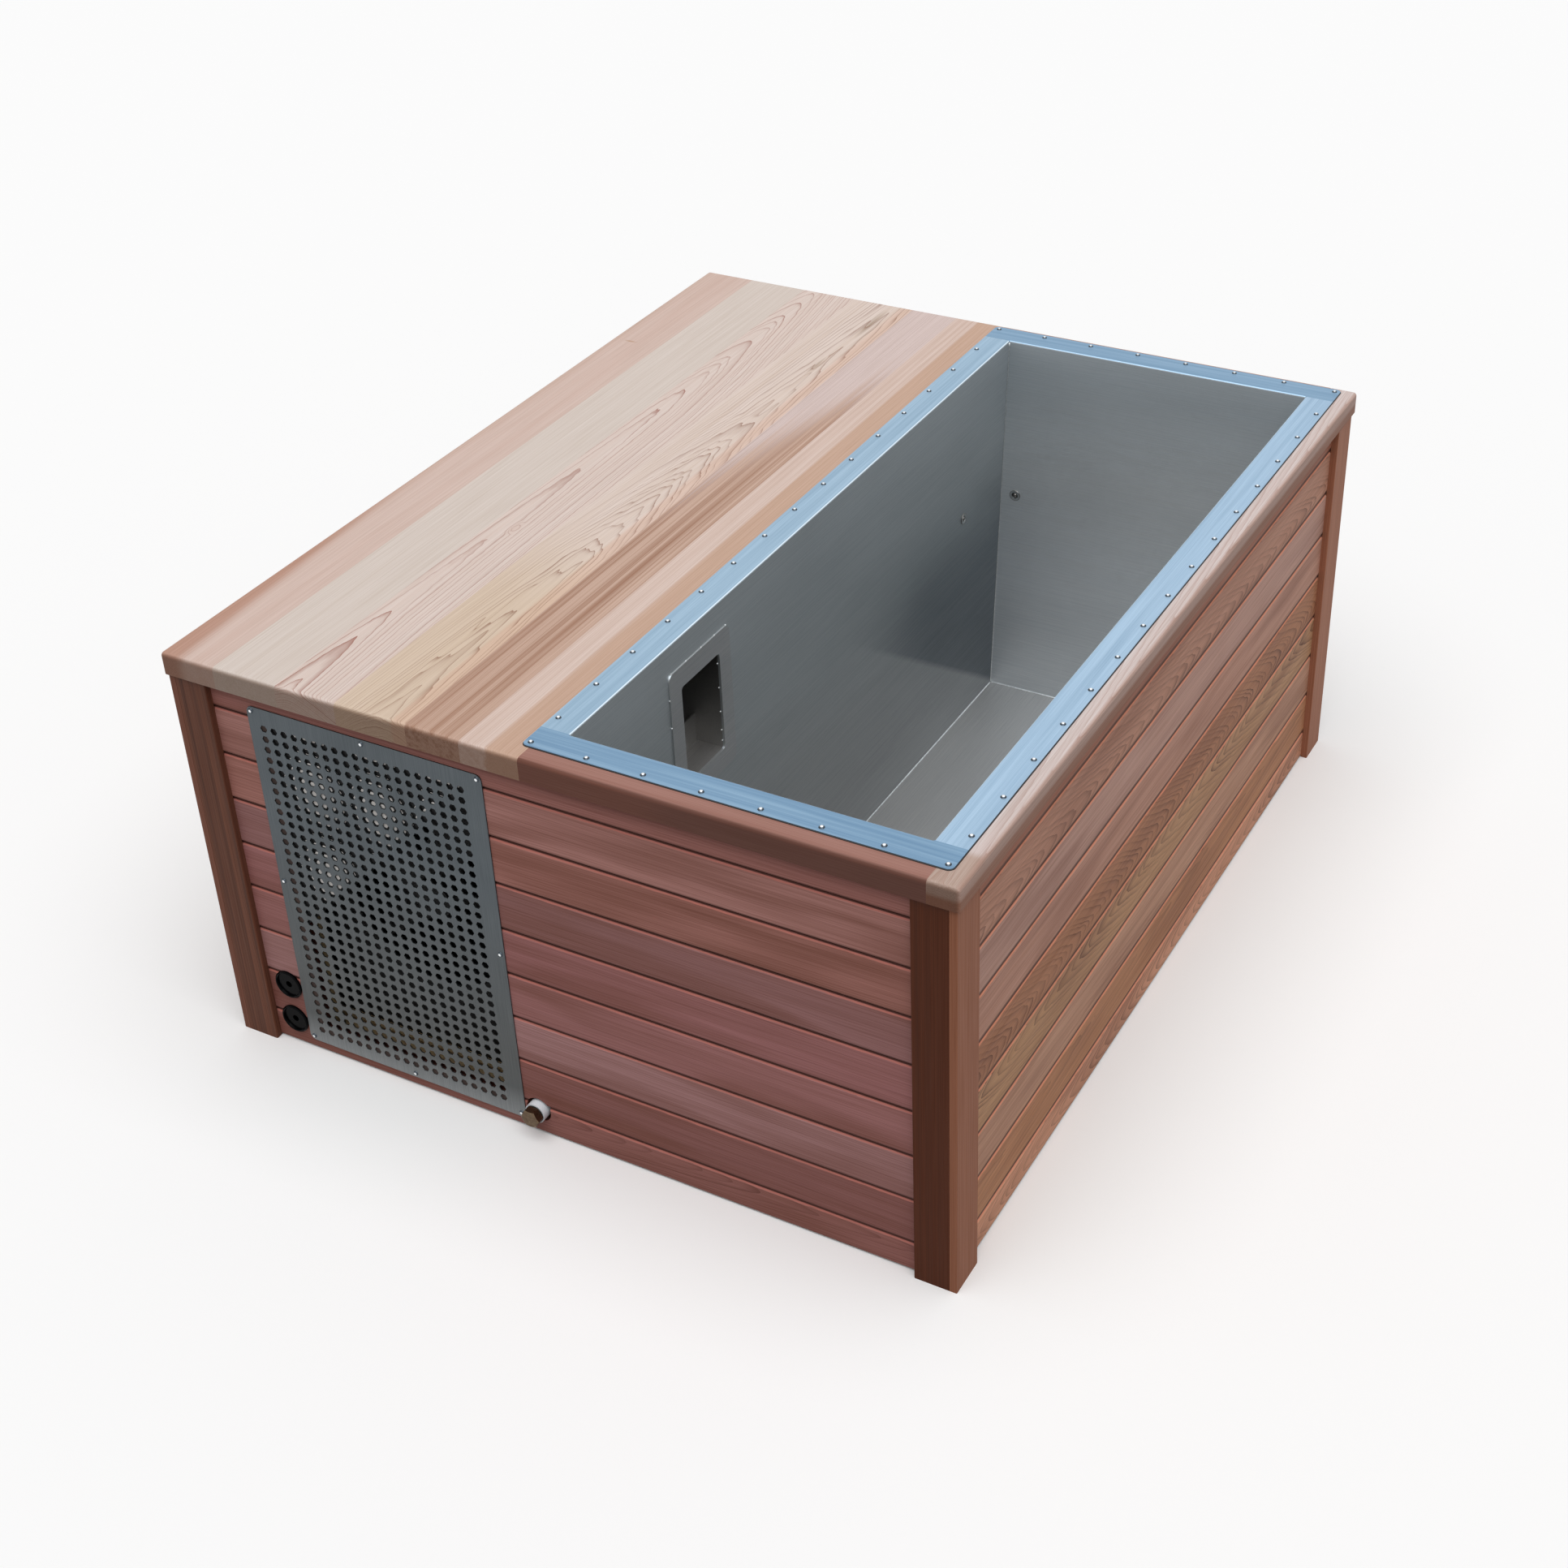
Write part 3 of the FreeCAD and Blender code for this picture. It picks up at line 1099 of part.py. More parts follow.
def coil_shape():
    low, high = numbers((coil_left, coil_front, in_low)), numbers((coil_right, in_rear, in_top))
    foot = s.coil_off_foot.number
    wide, deep, tall = (high - low)
    frames = [Part.makeBox(foot, deep, tall, FreeCAD.Vector(x, low.y, low.z)) for x in (low.x, high.x - foot)]
    gaps = round(s.coil_fins.number)
    span = wide - 2 * foot - s.fin_thick.number
    fins = [Part.makeBox(s.fin_thick.number, deep, tall - 2 * foot,
                         FreeCAD.Vector(low.x + foot + span * i / gaps, low.y, low.z + foot))
            for i in range(1, gaps)]
    count = round(s.coil_tubes.number)
    starts = [FreeCAD.Vector(low.x, low.y + deep / 2, low.z + tall * (i + 0.5) / count) for i in range(count)]
    tubes = [Part.makeCylinder(s.coil_tube.number, wide, start, FreeCAD.Vector(1, 0, 0)) for start in starts]
    return frames[0].multiFuse(frames[1:] + fins + tubes)


node("condenser_coil", shaped("condenser_coil", coil_shape()))


# Compressor: a domed steel can on its foot

dome = s.compressor_radius / 3
node("compressor", turned("compressor", [
    (0, 0), (s.compressor_radius + 6, 0), (s.compressor_radius + 6, 4), (s.compressor_radius, 4),
    (s.compressor_radius, s.compressor_height - dome),
    (s.compressor_radius - dome / 2, s.compressor_height - dome / 4),
    (s.compressor_radius / 2, s.compressor_height), (0, s.compressor_height)],
    (case_right - s.compressor_right, case_rear - s.compressor_back, in_low), "+Z"))


# Heat exchanger: an upright shell with a water inlet and outlet through the cover

stub_far = s.exchanger_back + s.stub_long
shell = rod("exchanger_shell", s.exchanger_radius, (exchanger_x, exchanger_y, in_low),
            in_top - in_low - s.exchanger_room, "+Z")
stubs = [rod(f"exchanger_stub_{i}", s.pipe_radius, (exchanger_x, exchanger_y, height), stub_far, "+Y")
         for i, height in enumerate((feed_height, return_height))]
ways = [rod(f"exchanger_way_{i}", s.pipe_radius - s.pipe_wall, (exchanger_x, exchanger_y, height),
            stub_far, "+Y")
        for i, height in enumerate((feed_height, return_height))]
node("heat_exchanger", cut("heat_exchanger", fuse("exchanger_body", shell, *stubs), *ways))


# Control box on top of the heat pump

control_low = (case_left + s.control_left, case_front + s.control_front, case_top)
control_high = (control_low[0] + s.control_width, control_low[1] + s.control_depth,
                case_top + s.control_height)
control_inner = [(low + s.control_wall, high - s.control_wall)
                 for low, high in zip(control_low, control_high)]
node("control_box", cut(
    "control_box", rounded("control_shell", box("control_blank", control_low, control_high),
                           *[(s.control_wall, {"x": x, "y": y}) for x in (control_low[0], control_high[0])
                             for y in (control_low[1], control_high[1])]),
    box("control_room", tuple(low for low, _ in control_inner), tuple(high for _, high in control_inner))))


# Circulation pump: housing, motor on its foot, and the impeller on the motor's shaft

pump_x = filter_x
pump_y = box_out["rear"] + s.pump_from_skimmer
eye = s.suction_radius - s.suction_wall
cavity = s.pump_radius - s.pump_wall
housing = turned("housing_ring", [
    (eye, -s.pump_spigot), (s.suction_radius, -s.pump_spigot), (s.suction_radius, 0), (s.pump_radius, 0),
    (s.pump_radius, s.pump_long), (cavity, s.pump_long), (cavity, s.pump_wall), (eye, s.pump_wall)],
    (pump_x, pump_y, pump_z), "+Y")
outlet_y = pump_y + s.pump_long / 2
outlet = rod("outlet_spigot", s.pipe_radius, (pump_x, outlet_y, pump_z + cavity),
             s.pump_wall + s.pump_spigot, "+Z")
outlet_way = rod("outlet_way", s.pipe_radius - s.pipe_wall, (pump_x, outlet_y, pump_z + cavity / 2),
                 cavity / 2 + s.pump_wall + s.pump_spigot, "+Z")
node("pump_housing", cut("pump_housing", fuse("housing_body", housing, outlet), outlet_way))

motor_y = pump_y + s.pump_long
motor_seat = s.shaft_seat + 1
motor_can = turned("motor_can", [
    (bearing, 0), (s.pump_radius, 0), (s.pump_radius, s.motor_flange), (s.motor_radius, s.motor_flange),
    (s.motor_radius, s.motor_long - 6), (s.motor_radius - 6, s.motor_long), (0, s.motor_long),
    (0, motor_seat), (bearing, motor_seat)], (pump_x, motor_y, pump_z), "+Y")
foot_start = motor_y + s.motor_long / 4
foot = box("motor_foot", (pump_x - s.foot_width / 2, foot_start, deck_top),
           (pump_x + s.foot_width / 2, foot_start + s.motor_long / 2, pump_z - s.motor_radius / 2))
terminal_y = motor_y + s.motor_long / 2
terminal_top = pump_z + s.motor_radius + s.terminal_rise
terminal = box(
    "motor_terminal",
    (pump_x - s.terminal_width / 2, terminal_y - s.terminal_long / 2, pump_z + s.motor_radius / 2),
    (pump_x + s.terminal_width / 2, terminal_y + s.terminal_long / 2, terminal_top))
node("pump_motor", cut("pump_motor", fuse("motor_body", motor_can, foot, terminal),
                       rod("motor_bearing", bearing, (pump_x, motor_y, pump_z), motor_seat, "+Y")))


def impeller_shape():
    """Back disc, vanes and shaft; the axis is +Z from the vanes' front edge."""
    reach, high, disc = s.impeller_radius.number, s.vane_high.number, s.impeller_disc.number
    shaft_start = high
    shaft_end = (s.pump_long - s.pump_wall - s.impeller_play + s.shaft_seat).number
    parts = [Part.makeCylinder(s.shaft_radius.number, shaft_end - shaft_start,
                               FreeCAD.Vector(0, 0, shaft_start))]
    inner = eye.number
    thick = s.vane_thick.number
    vanes = round(s.impeller_vanes.number)
    for i in range(vanes):
        vane = Part.makeBox(reach - inner - thick, thick, high, FreeCAD.Vector(inner, -thick / 2, 0))
        vane.rotate(ORIGIN, FreeCAD.Vector(0, 0, 1), 360 * i / vanes)
        parts.append(vane)
    back = Part.makeCylinder(reach, disc, FreeCAD.Vector(0, 0, high))
    return back.multiFuse(parts).removeSplitter()


impeller_y = pump_y + s.pump_wall + s.impeller_play
node("impeller", place(shaped("impeller", impeller_shape()), (pump_x, impeller_y, pump_z), "+Y"))


# Pipes: skimmer to pump, pump to heat exchanger, heat exchanger to the return sockets

node("suction_pipe", bent_tube("suction_pipe", [
    (filter_x, filter_y, mouth_low + s.suction_rise), (filter_x, filter_y, pump_z),
    (pump_x, pump_y - s.pump_spigot, pump_z)], s.suction_radius, s.suction_wall, s.suction_bend))
stub_end = case_rear + s.stub_long
feed_turn = outlet_y
node("feed_pipe", bent_tube("feed_pipe", [
    (pump_x, outlet_y, outlet_top), (pump_x, outlet_y, feed_height), (exchanger_x, feed_turn, feed_height),
    (exchanger_x, stub_end, feed_height)], s.pipe_radius, s.pipe_wall, s.pipe_bend))
cross_y = box_out["rear"] + s.pipe_bend
drop_y = (left_socket_y + return_y) / 2
node("return_pipe", bent_tube("return_pipe", [
    (exchanger_x, stub_end, return_height), (exchanger_x, cross_y, return_height),
    (return_x, cross_y, return_height), (return_x, drop_y, return_height),
    (return_x, return_y, rear_return_height),
    (rear_socket_x + s.pipe_bend, return_y, rear_return_height)],
    s.pipe_radius, s.pipe_wall, s.pipe_bend))
conduit_x = box_back - s.conduit_off_skimmer
conduit_z = case_top + s.control_height / 2
node("pump_conduit", bent_tube("pump_conduit", [
    (conduit_x, control_high[1], conduit_z), (conduit_x, terminal_y, conduit_z),
    (pump_x, terminal_y, conduit_z), (pump_x, terminal_y, terminal_top)],
    s.conduit_radius, s.conduit_radius / 4, s.conduit_bend))


# Check every object, then write each sub-part to its own file

doc.recompute()
failed = [obj.Label for obj in doc.Objects if {"Invalid", "Error"} & set(obj.State)]
failed += [obj.Label for obj in nodes if obj.Shape.isNull() or not obj.Shape.isValid()]
if failed:
    raise RuntimeError("not built: " + ", ".join(failed))
os.makedirs("parts", exist_ok=True)
for obj in nodes:
    obj.Shape.exportStep(os.path.join("parts", obj.Label + ".step"))
print(len(nodes), "sub-parts written")
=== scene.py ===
import math

import bmesh
import bpy
from mathutils import Matrix, Vector


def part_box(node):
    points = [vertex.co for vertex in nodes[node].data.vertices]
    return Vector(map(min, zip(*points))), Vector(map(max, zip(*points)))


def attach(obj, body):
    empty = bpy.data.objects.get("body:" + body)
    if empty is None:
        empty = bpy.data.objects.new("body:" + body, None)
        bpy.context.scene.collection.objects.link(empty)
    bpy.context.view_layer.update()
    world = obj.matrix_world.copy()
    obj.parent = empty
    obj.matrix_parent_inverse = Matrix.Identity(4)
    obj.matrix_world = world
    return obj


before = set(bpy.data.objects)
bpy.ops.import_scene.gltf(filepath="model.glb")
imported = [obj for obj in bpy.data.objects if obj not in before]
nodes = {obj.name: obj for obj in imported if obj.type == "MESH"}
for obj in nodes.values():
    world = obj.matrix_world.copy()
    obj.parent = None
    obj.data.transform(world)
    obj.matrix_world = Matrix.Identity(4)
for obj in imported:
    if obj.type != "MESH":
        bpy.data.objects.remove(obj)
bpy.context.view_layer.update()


# Frame: bearers, posts and rails under the deck, and the battens that carry the basin's rim.
# Planed spruce, screwed together. It only shows through the grille and with a panel off.

def linear(code):
    """An sRGB hex colour as the linear colour that a shader socket takes."""
    parts = [int(code[i:i + 2], 16) / 255 for i in (1, 3, 5)]
    return tuple(c / 12.92 if c <= 0.04045 else ((c + 0.055) / 1.055) ** 2.4 for c in parts) + (1.0,)


def add(tree, kind, inputs, stops=(), flat=False, **settings):
    """Adds a shader node of that kind, sets its properties, and fills or links its inputs. Stops are a ramp's
    places and colours, which blend into one another unless they are flat."""
    made = tree.nodes.new("ShaderNode" + kind)
    for key, value in settings.items():
        setattr(made, key, value)
    for socket, value in inputs.items():
        if isinstance(value, bpy.types.Node):
            # the third output of a Mix node is its colour
            value = value.outputs[2 if value.bl_idname == "ShaderNodeMix" else 0]
        if isinstance(value, bpy.types.NodeSocket):
            tree.links.new(value, made.inputs[socket])
        else:
            made.inputs[socket].default_value = value
    if stops:
        ramp = made.color_ramp
        ramp.interpolation = "CONSTANT" if flat else "LINEAR"
        while len(ramp.elements) < len(stops):
            ramp.elements.new(1.0)
        for element, (position, code) in zip(ramp.elements, stops):
            element.position = position
            element.color = linear(code) if isinstance(code, str) else (*code, 1.0)
    return made


def material(name):
    """A new material's node tree and its shader."""
    made = bpy.data.materials.new(name)
    made.use_nodes = True
    return made.node_tree, made.node_tree.nodes["Principled BSDF"]


def paint(tree, *names):
    """Gives CAD nodes the material that a node tree belongs to."""
    finish = next(m for m in bpy.data.materials if m.node_tree == tree)
    for name in names:
        mesh = nodes[name].data
        mesh.materials.clear()
        mesh.materials.append(finish)


def timber(name, along, across, thick, early, late, ring=4.0, centre=-1500.0, half=25.0, slope=1.0, lift=(),
           spots=(), sway=2.0, jag=0.3, tooth=(9.0, 24.0), line=0.5, sharp=4.0, band="#8a5243", streak=0.2,
           stripe=(11.0, 1900.0), sweep=0.0, fade=0.0, patch=0.0, fibre="#ece8e4", tints=(), courses=None,
           bevel=None):
    """Sawn timber, in millimetres. Year rings climb along a board with its lift and rise to both sides of a
    centre line, so they cut the face as arches there and as straight lines away from it. Early and late are a
    year's two tones and ring is its width. Sway and jag bend the rings, and line, sharp, fade and patch draw
    them. Band, streak, stripe and sweep make the heartwood's stripes, spots are knots and stains, tints are
    broad changes of tone, courses are boards in a stack and bevel is the V joint between them."""
    tree, shader = material(name)
    place = add(tree, "TexCoord", {})
    mm = add(tree, "VectorMath", {0: place.outputs["Object"], "Scale": 1000.0}, operation="SCALE")
    axes = add(tree, "SeparateXYZ", {0: mm})
    run, width, deep = axes.outputs[along], axes.outputs[across], axes.outputs[thick]
    climb = deep
    colour = linear(early)
    if courses:
        # boards stacked one over another: each has its own tone, slope of the rings and place in the log
        first, cover, rows = courses
        count, next_log = len(rows), 1731.0
        step = add(tree, "Math", {0: width, 1: first}, operation="SUBTRACT")
        step = add(tree, "Math", {0: step, 1: cover}, operation="DIVIDE")
        upward = add(tree, "Math", {0: step}, operation="FRACT")
        step = add(tree, "Math", {0: step}, operation="FLOOR")
        nth = add(tree, "Math", {0: step, 1: 1 / count, 2: 1.5 / count}, operation="MULTIPLY_ADD")
        colour = add(tree, "ValToRGB", {0: nth}, flat=True,
                     stops=[(i / count, tone) for i, (tone, *_) in enumerate(rows)])
        # a ramp holds numbers from 0 to 1, so the slope and the offset, there in metres, are kept about 0.5
        figure = add(tree, "ValToRGB", {0: nth}, flat=True,
                     stops=[(i / count, (0.5 + tilt, 0.5 + offset / 1000, strength))
                            for i, (_, tilt, offset, strength) in enumerate(rows)])
        figure = add(tree, "SeparateColor", {0: figure})
        tilt = add(tree, "Math", {0: figure.outputs[0], 1: 0.5}, operation="SUBTRACT")
        climb = add(tree, "Math", {0: tilt, 1: run, 2: deep}, operation="MULTIPLY_ADD")
        aside = add(tree, "Math", {0: figure.outputs[1], 1: 1000.0, 2: first + cover / 2 - 500.0},
                    operation="MULTIPLY_ADD")
        middle = add(tree, "Math", {0: step, 1: cover, 2: aside}, operation="MULTIPLY_ADD")
        width = add(tree, "Math", {0: width, 1: middle}, operation="SUBTRACT")
        run = add(tree, "Math", {0: step, 1: next_log, 2: run}, operation="MULTIPLY_ADD")
    spot = add(tree, "CombineXYZ", {0: width, 1: run, 2: deep})
    for begin, stop, height in lift:
        rise = add(tree, "MapRange", {0: run, 1: begin, 2: stop, 3: 0.0, 4: height})
        climb = add(tree, "Math", {0: climb, 1: rise}, operation="ADD")
    off = add(tree, "Math", {0: width, 1: centre}, operation="SUBTRACT")
    flank = add(tree, "Math", {0: off, 1: off, 2: half * half}, operation="MULTIPLY_ADD")
    flank = add(tree, "Math", {0: flank}, operation="SQRT")
    rings = add(tree, "Math", {0: flank, 1: slope, 2: climb}, operation="MULTIPLY_ADD")
    # late wood is widest where a ring turns: arches are bold and ragged at the tips and thin on their flanks
    thin = add(tree, "MapRange", {0: flank, 1: half + 4.0, 2: half + 34.0, 3: 1.0, 4: 1.0 - fade})

    # no log is straight: slow bends over half a metre, ragged ones over a thumb's width
    bends = []
    for cell, amount, hold in (((60.0, 420.0, 60.0), sway, 1.0), ((*tooth, tooth[0]), jag, thin)):
        grid = add(tree, "VectorMath", {0: spot, 1: cell}, operation="DIVIDE")
        bends.append(add(tree, "TexNoise", {"Vector": grid, "Scale": 1.0, "Detail": 1.5}))
        shift = add(tree, "Math", {0: bends[-1], 1: 2 * amount, 2: -amount}, operation="MULTIPLY_ADD")
        rings = add(tree, "Math", {0: shift, 1: hold, 2: rings}, operation="MULTIPLY_ADD")
    slow, ragged = bends
    if sweep:
        # the tone drifts slowly darker and back along the board, following the slow bends
        drift = add(tree, "MapRange", {0: slow, 1: 0.47, 2: 0.66, 3: 0.0, 4: sweep},
                    interpolation_type="SMOOTHSTEP")
        colour = add(tree, "Mix", {0: drift, 6: colour, 7: linear(band)}, data_type="RGBA")

    # heartwood stripes run the whole board; fibres 1.2 mm wide, drawn twice as coarse as cedar's
    grid = add(tree, "VectorMath", {0: spot, 1: (*stripe, stripe[0])}, operation="DIVIDE")
    bands = add(tree, "TexNoise", {"Vector": grid, "Scale": 1.0, "Detail": 4.0, "Roughness": 0.6})
    grid = add(tree, "VectorMath", {0: spot, 1: (1.2, 150.0, 1.2)}, operation="DIVIDE")
    fibres = add(tree, "TexNoise", {"Vector": grid, "Scale": 1.0, "Detail": 2.0})

    # a knot or a stain lifts the rings round it and colours the wood, frayed along the stripes
    for w, r, half_w, half_r, height, code, amount in spots:
        gap = add(tree, "VectorMath", {0: spot, 1: (w, r, 0.0)}, operation="SUBTRACT")
        gap = add(tree, "VectorMath", {0: gap, 1: (1 / half_w, 1 / half_r, 0.0)}, operation="MULTIPLY")
        gap = add(tree, "VectorMath", {0: gap}, operation="LENGTH").outputs["Value"]
        swell = add(tree, "MapRange", {0: gap, 1: 1.0, 2: 0.0, 3: 0.0, 4: height},
                    interpolation_type="SMOOTHSTEP")
        rings = add(tree, "Math", {0: rings, 1: swell}, operation="ADD")
        gap = add(tree, "Math", {0: bands, 1: 2.0, 2: gap}, operation="MULTIPLY_ADD")
        stain = add(tree, "MapRange", {0: gap, 1: 2.0, 2: 1.3, 3: 0.0, 4: amount})
        colour = add(tree, "Mix", {0: stain, 6: colour, 7: linear(code)}, data_type="RGBA")

    # no two years are alike: their width and the strength of their late line vary
    years = add(tree, "Math", {0: rings, 1: ring}, operation="DIVIDE")
    season = add(tree, "TexNoise", {"W": years, "Scale": 0.45, "Detail": 1.0}, noise_dimensions="1D")
    years = add(tree, "Math", {0: season, 1: 1.6, 2: years}, operation="MULTIPLY_ADD")
    year = add(tree, "Math", {0: years}, operation="FLOOR")
    growth = add(tree, "TexWhiteNoise", {"W": year}, noise_dimensions="1D")
    growth = add(tree, "MapRange", {0: growth, 3: 0.5 * line, 4: line})
    mark = add(tree, "Math", {0: years}, operation="FRACT")
    mark = add(tree, "Math", {0: mark, 1: sharp}, operation="POWER")
    mark = add(tree, "Math", {0: mark, 1: growth}, operation="MULTIPLY")
    if courses:
        mark = add(tree, "Math", {0: mark, 1: figure.outputs[2]}, operation="MULTIPLY")
    if fade:
        mark = add(tree, "Math", {0: mark, 1: thin}, operation="MULTIPLY")
    if patch:
        # the figure is bold over a stretch of the board and calm over the next
        bold = add(tree, "MapRange", {0: slow, 1: 0.40, 2: 0.52, 3: 1.0 - patch, 4: 1.0})
        mark = add(tree, "Math", {0: mark, 1: bold}, operation="MULTIPLY")
    stroke = add(tree, "MapRange", {0: bands, 1: 0.42, 2: 0.68, 3: 0.0, 4: streak})
    colour = add(tree, "Mix", {0: stroke, 6: colour, 7: linear(band)}, data_type="RGBA")
    for code, amount, toward, begin, stop, fray in tints:
        reach = add(tree, "VectorMath", {0: mm, 1: toward}, operation="DOT_PRODUCT").outputs["Value"]
        reach = add(tree, "Math", {0: bands, 1: fray, 2: reach}, operation="MULTIPLY_ADD")
        reach = add(tree, "MapRange", {0: reach, 1: begin + fray / 2, 2: stop + fray / 2, 3: 0.0, 4: amount},
                    interpolation_type="SMOOTHSTEP")
        colour = add(tree, "Mix", {0: reach, 6: colour, 7: linear(code)}, data_type="RGBA")
    colour = add(tree, "Mix", {0: mark, 6: colour, 7: linear(late)}, data_type="RGBA")
    shade = add(tree, "ValToRGB", {0: fibres}, stops=[(0.3, fibre), (0.62, "#ffffff")])
    colour = add(tree, "Mix", {0: 1.0, 6: colour, 7: shade}, data_type="RGBA", blend_type="MULTIPLY")
    # end grain drinks more of the oil, so it is darker
    facing = add(tree, "SeparateXYZ", {0: place.outputs["Normal"]})
    ends = add(tree, "Math", {0: facing.outputs[along]}, operation="ABSOLUTE")
    ends = add(tree, "MapRange", {0: ends, 1: 0.5, 2: 0.95, 3: 0.0, 4: 0.75})
    colour = add(tree, "Mix", {0: ends, 6: colour, 7: linear("#a89486")}, data_type="RGBA",
                 blend_type="MULTIPLY")
    if bevel:
        # a V joint's bevels are freshly planed and a little torn; their bright tone is partly fresh wood and
        # partly a painted highlight, and painted shadow darkens the joint from some depth on and the arris of
        # the board above
        lit_fresh_tone, dark, face, inward, arris_shade_height = bevel
        sunk = add(tree, "Math", {0: deep, 1: inward, 2: -face * inward}, operation="MULTIPLY_ADD")
        torn = add(tree, "Math", {0: ragged, 1: 2.0, 2: sunk}, operation="MULTIPLY_ADD")
        for depth, code, begin, stop in ((torn, lit_fresh_tone, 1.55, 1.75), (sunk, "#3a2019", dark, dark + 0.4),
                                         (upward, "#3a2019", arris_shade_height / cover, (arris_shade_height - 3.5) / cover)):
            reach = add(tree, "MapRange", {0: depth, 1: begin, 2: stop, 3: 0.0, 4: 0.85})
            colour = add(tree, "Mix", {0: reach, 6: colour, 7: linear(code)}, data_type="RGBA")
    rough = add(tree, "MapRange", {0: fibres, 1: 0.3, 2: 0.7, 3: 0.66, 4: 0.52})
    height = add(tree, "Math", {0: mark, 1: 0.6, 2: fibres}, operation="MULTIPLY_ADD")
    relief = add(tree, "Bump", {"Height": height, "Strength": 0.2, "Distance": 0.0002})
    tree.links.new(colour.outputs[2], shader.inputs["Base Color"])
    tree.links.new(rough.outputs[0], shader.inputs["Roughness"])
    tree.links.new(relief.outputs[0], shader.inputs["Normal"])
    shader.inputs["Specular IOR Level"].default_value = 0.2
    return tree


SPRUCE = {"early": "#dcc39a", "late": "#b98f58", "ring": 3.0, "band": "#cfae7c", "streak": 0.3}
paint(timber("spruce bearers, planed", "X", "Y", "Z", centre=40.0, slope=0.7, **SPRUCE), "base_bearers")
paint(timber("spruce posts, planed", "Z", "X", "Y", **SPRUCE), "frame_posts")
paint(timber("spruce rails, planed", "X", "Y", "Z", **SPRUCE), "top_frame_rails")
paint(timber("spruce battens, planed", "Y", "X", "Z", **SPRUCE), "rim_battens")


# Equipment deck: one sheet on the bearers under the heat pump and the pump.
# Birch plywood, sanded; its face is a rotary-cut veneer with broad soft figure.

veneer = timber("birch plywood, sanded", "Y", "X", "Z", early="#d8bd92", late="#b58f5e", band="#cdaa78",
                ring=9.0, centre=-380.0, half=80.0, slope=0.4, lift=((-800.0, 800.0, 90.0),), sway=16.0,
                jag=3.0, line=0.35)
paint(veneer, "equipment_deck")


# Insulation: boards under the basin's floor and against its walls, cut to fit round the fittings.
# Extruded polystyrene, pink, with the fine closed cells that its skin shows.

tree, shader = material("polystyrene foam, extruded")
place = add(tree, "TexCoord", {})
# cells of 0.4 mm, drawn at 3 mm so that they show
cells = add(tree, "TexVoronoi", {"Vector": place.outputs["Object"], "Scale": 1 / 0.003})
tone = add(tree, "ValToRGB", {0: cells}, stops=[(0.0, "#d8a9b0"), (0.8, "#e6bfc4")])
relief = add(tree, "Bump", {"Height": cells, "Strength": 0.2, "Distance": 0.0003})
tree.links.new(tone.outputs[0], shader.inputs["Base Color"])
tree.links.new(relief.outputs[0], shader.inputs["Normal"])
shader.inputs["Roughness"].default_value = 0.85
paint(tree, "foam_insulation")


# Heat pump: a folded tray, a cover and a front panel with the fan's opening.
# Zinc-plated sheet with a baked powder coat and the slight orange peel that it leaves; its charcoal is
# painted shade, keeping the bay behind the grille dark.

def coated(name, code, worn, roughness, grain):
    """A sprayed or moulded skin: one colour, faintly clouded, and a surface pebbled with that grain in mm."""
    tree, shader = material(name)
    place = add(tree, "TexCoord", {})
    cloud = add(tree, "TexNoise", {"Vector": place.outputs["Object"], "Scale": 1 / 0.06, "Detail": 4.0})
    tone = add(tree, "ValToRGB", {0: cloud}, stops=[(0.35, worn), (0.6, code)])
    scale = 1000 / grain
    pebble = add(tree, "TexNoise", {"Vector": place.outputs["Object"], "Scale": scale, "Detail": 2.0})
    relief = add(tree, "Bump", {"Height": pebble, "Strength": 0.15, "Distance": 0.0002})
    rough = add(tree, "MapRange", {0: cloud, 1: 0.3, 2: 0.7, 3: roughness + 0.08, 4: roughness - 0.04})
    for socket, value in (("Base Color", tone), ("Roughness", rough), ("Normal", relief)):
        tree.links.new(value.outputs[0], shader.inputs[socket])
    return tree


powder_coat = coated("powder coat, charcoal", "#18191a", "#131414", 0.55, 2.5)
paint(powder_coat, "heat_pump_case", "heat_pump_front")


# Fan and its motor: five blades on a hub, pushed on the shaft of a closed motor that hangs on a strut.
# Fan moulded in black polypropylene, matt; motor can cast and painted dark grey.

paint(coated("polypropylene, moulded black", "#1d1e1f", "#151516", 0.48, 3.0), "fan")
paint(coated("machine enamel, dark grey", "#46494c", "#3b3e41", 0.4, 2.5), "fan_motor", "pump_motor")


# Condenser coil: aluminium fins pressed on copper tubes between two end frames.
# Bare mill-finish aluminium, dull, with the grey cloud of handling.

tree, shader = material("aluminium fins, mill finish")
place = add(tree, "TexCoord", {})
cloud = add(tree, "TexNoise", {"Vector": place.outputs["Object"], "Scale": 1 / 0.03, "Detail": 5.0})
tone = add(tree, "ValToRGB", {0: cloud}, stops=[(0.3, "#a9adb0"), (0.7, "#c9ccce")])
tree.links.new(tone.outputs[0], shader.inputs["Base Color"])
shader.inputs["Metallic"].default_value = 1.0
shader.inputs["Roughness"].default_value = 0.42
paint(tree, "condenser_coil")


# Compressor, heat exchanger and control box inside and on top of the heat pump.
# Compressor a drawn steel can in gloss black; exchanger shell and box moulded in ABS.

paint(coated("can enamel, gloss black", "#17181a", "#101112", 0.2, 4.0), "compressor")
paint(coated("ABS shell, charcoal", "#3d4042", "#333638", 0.45, 2.0), "heat_exchanger")
paint(coated("ABS box, light grey", "#b4b6b6", "#a8aaaa", 0.45, 2.0), "control_box")


# Circulation pump and pipework: housing, impeller, pipes between skimmer, heat pump and returns.
# Glass-filled polypropylene housing, matt black; pipes in white PVC, extruded and shiny; conduit grey.

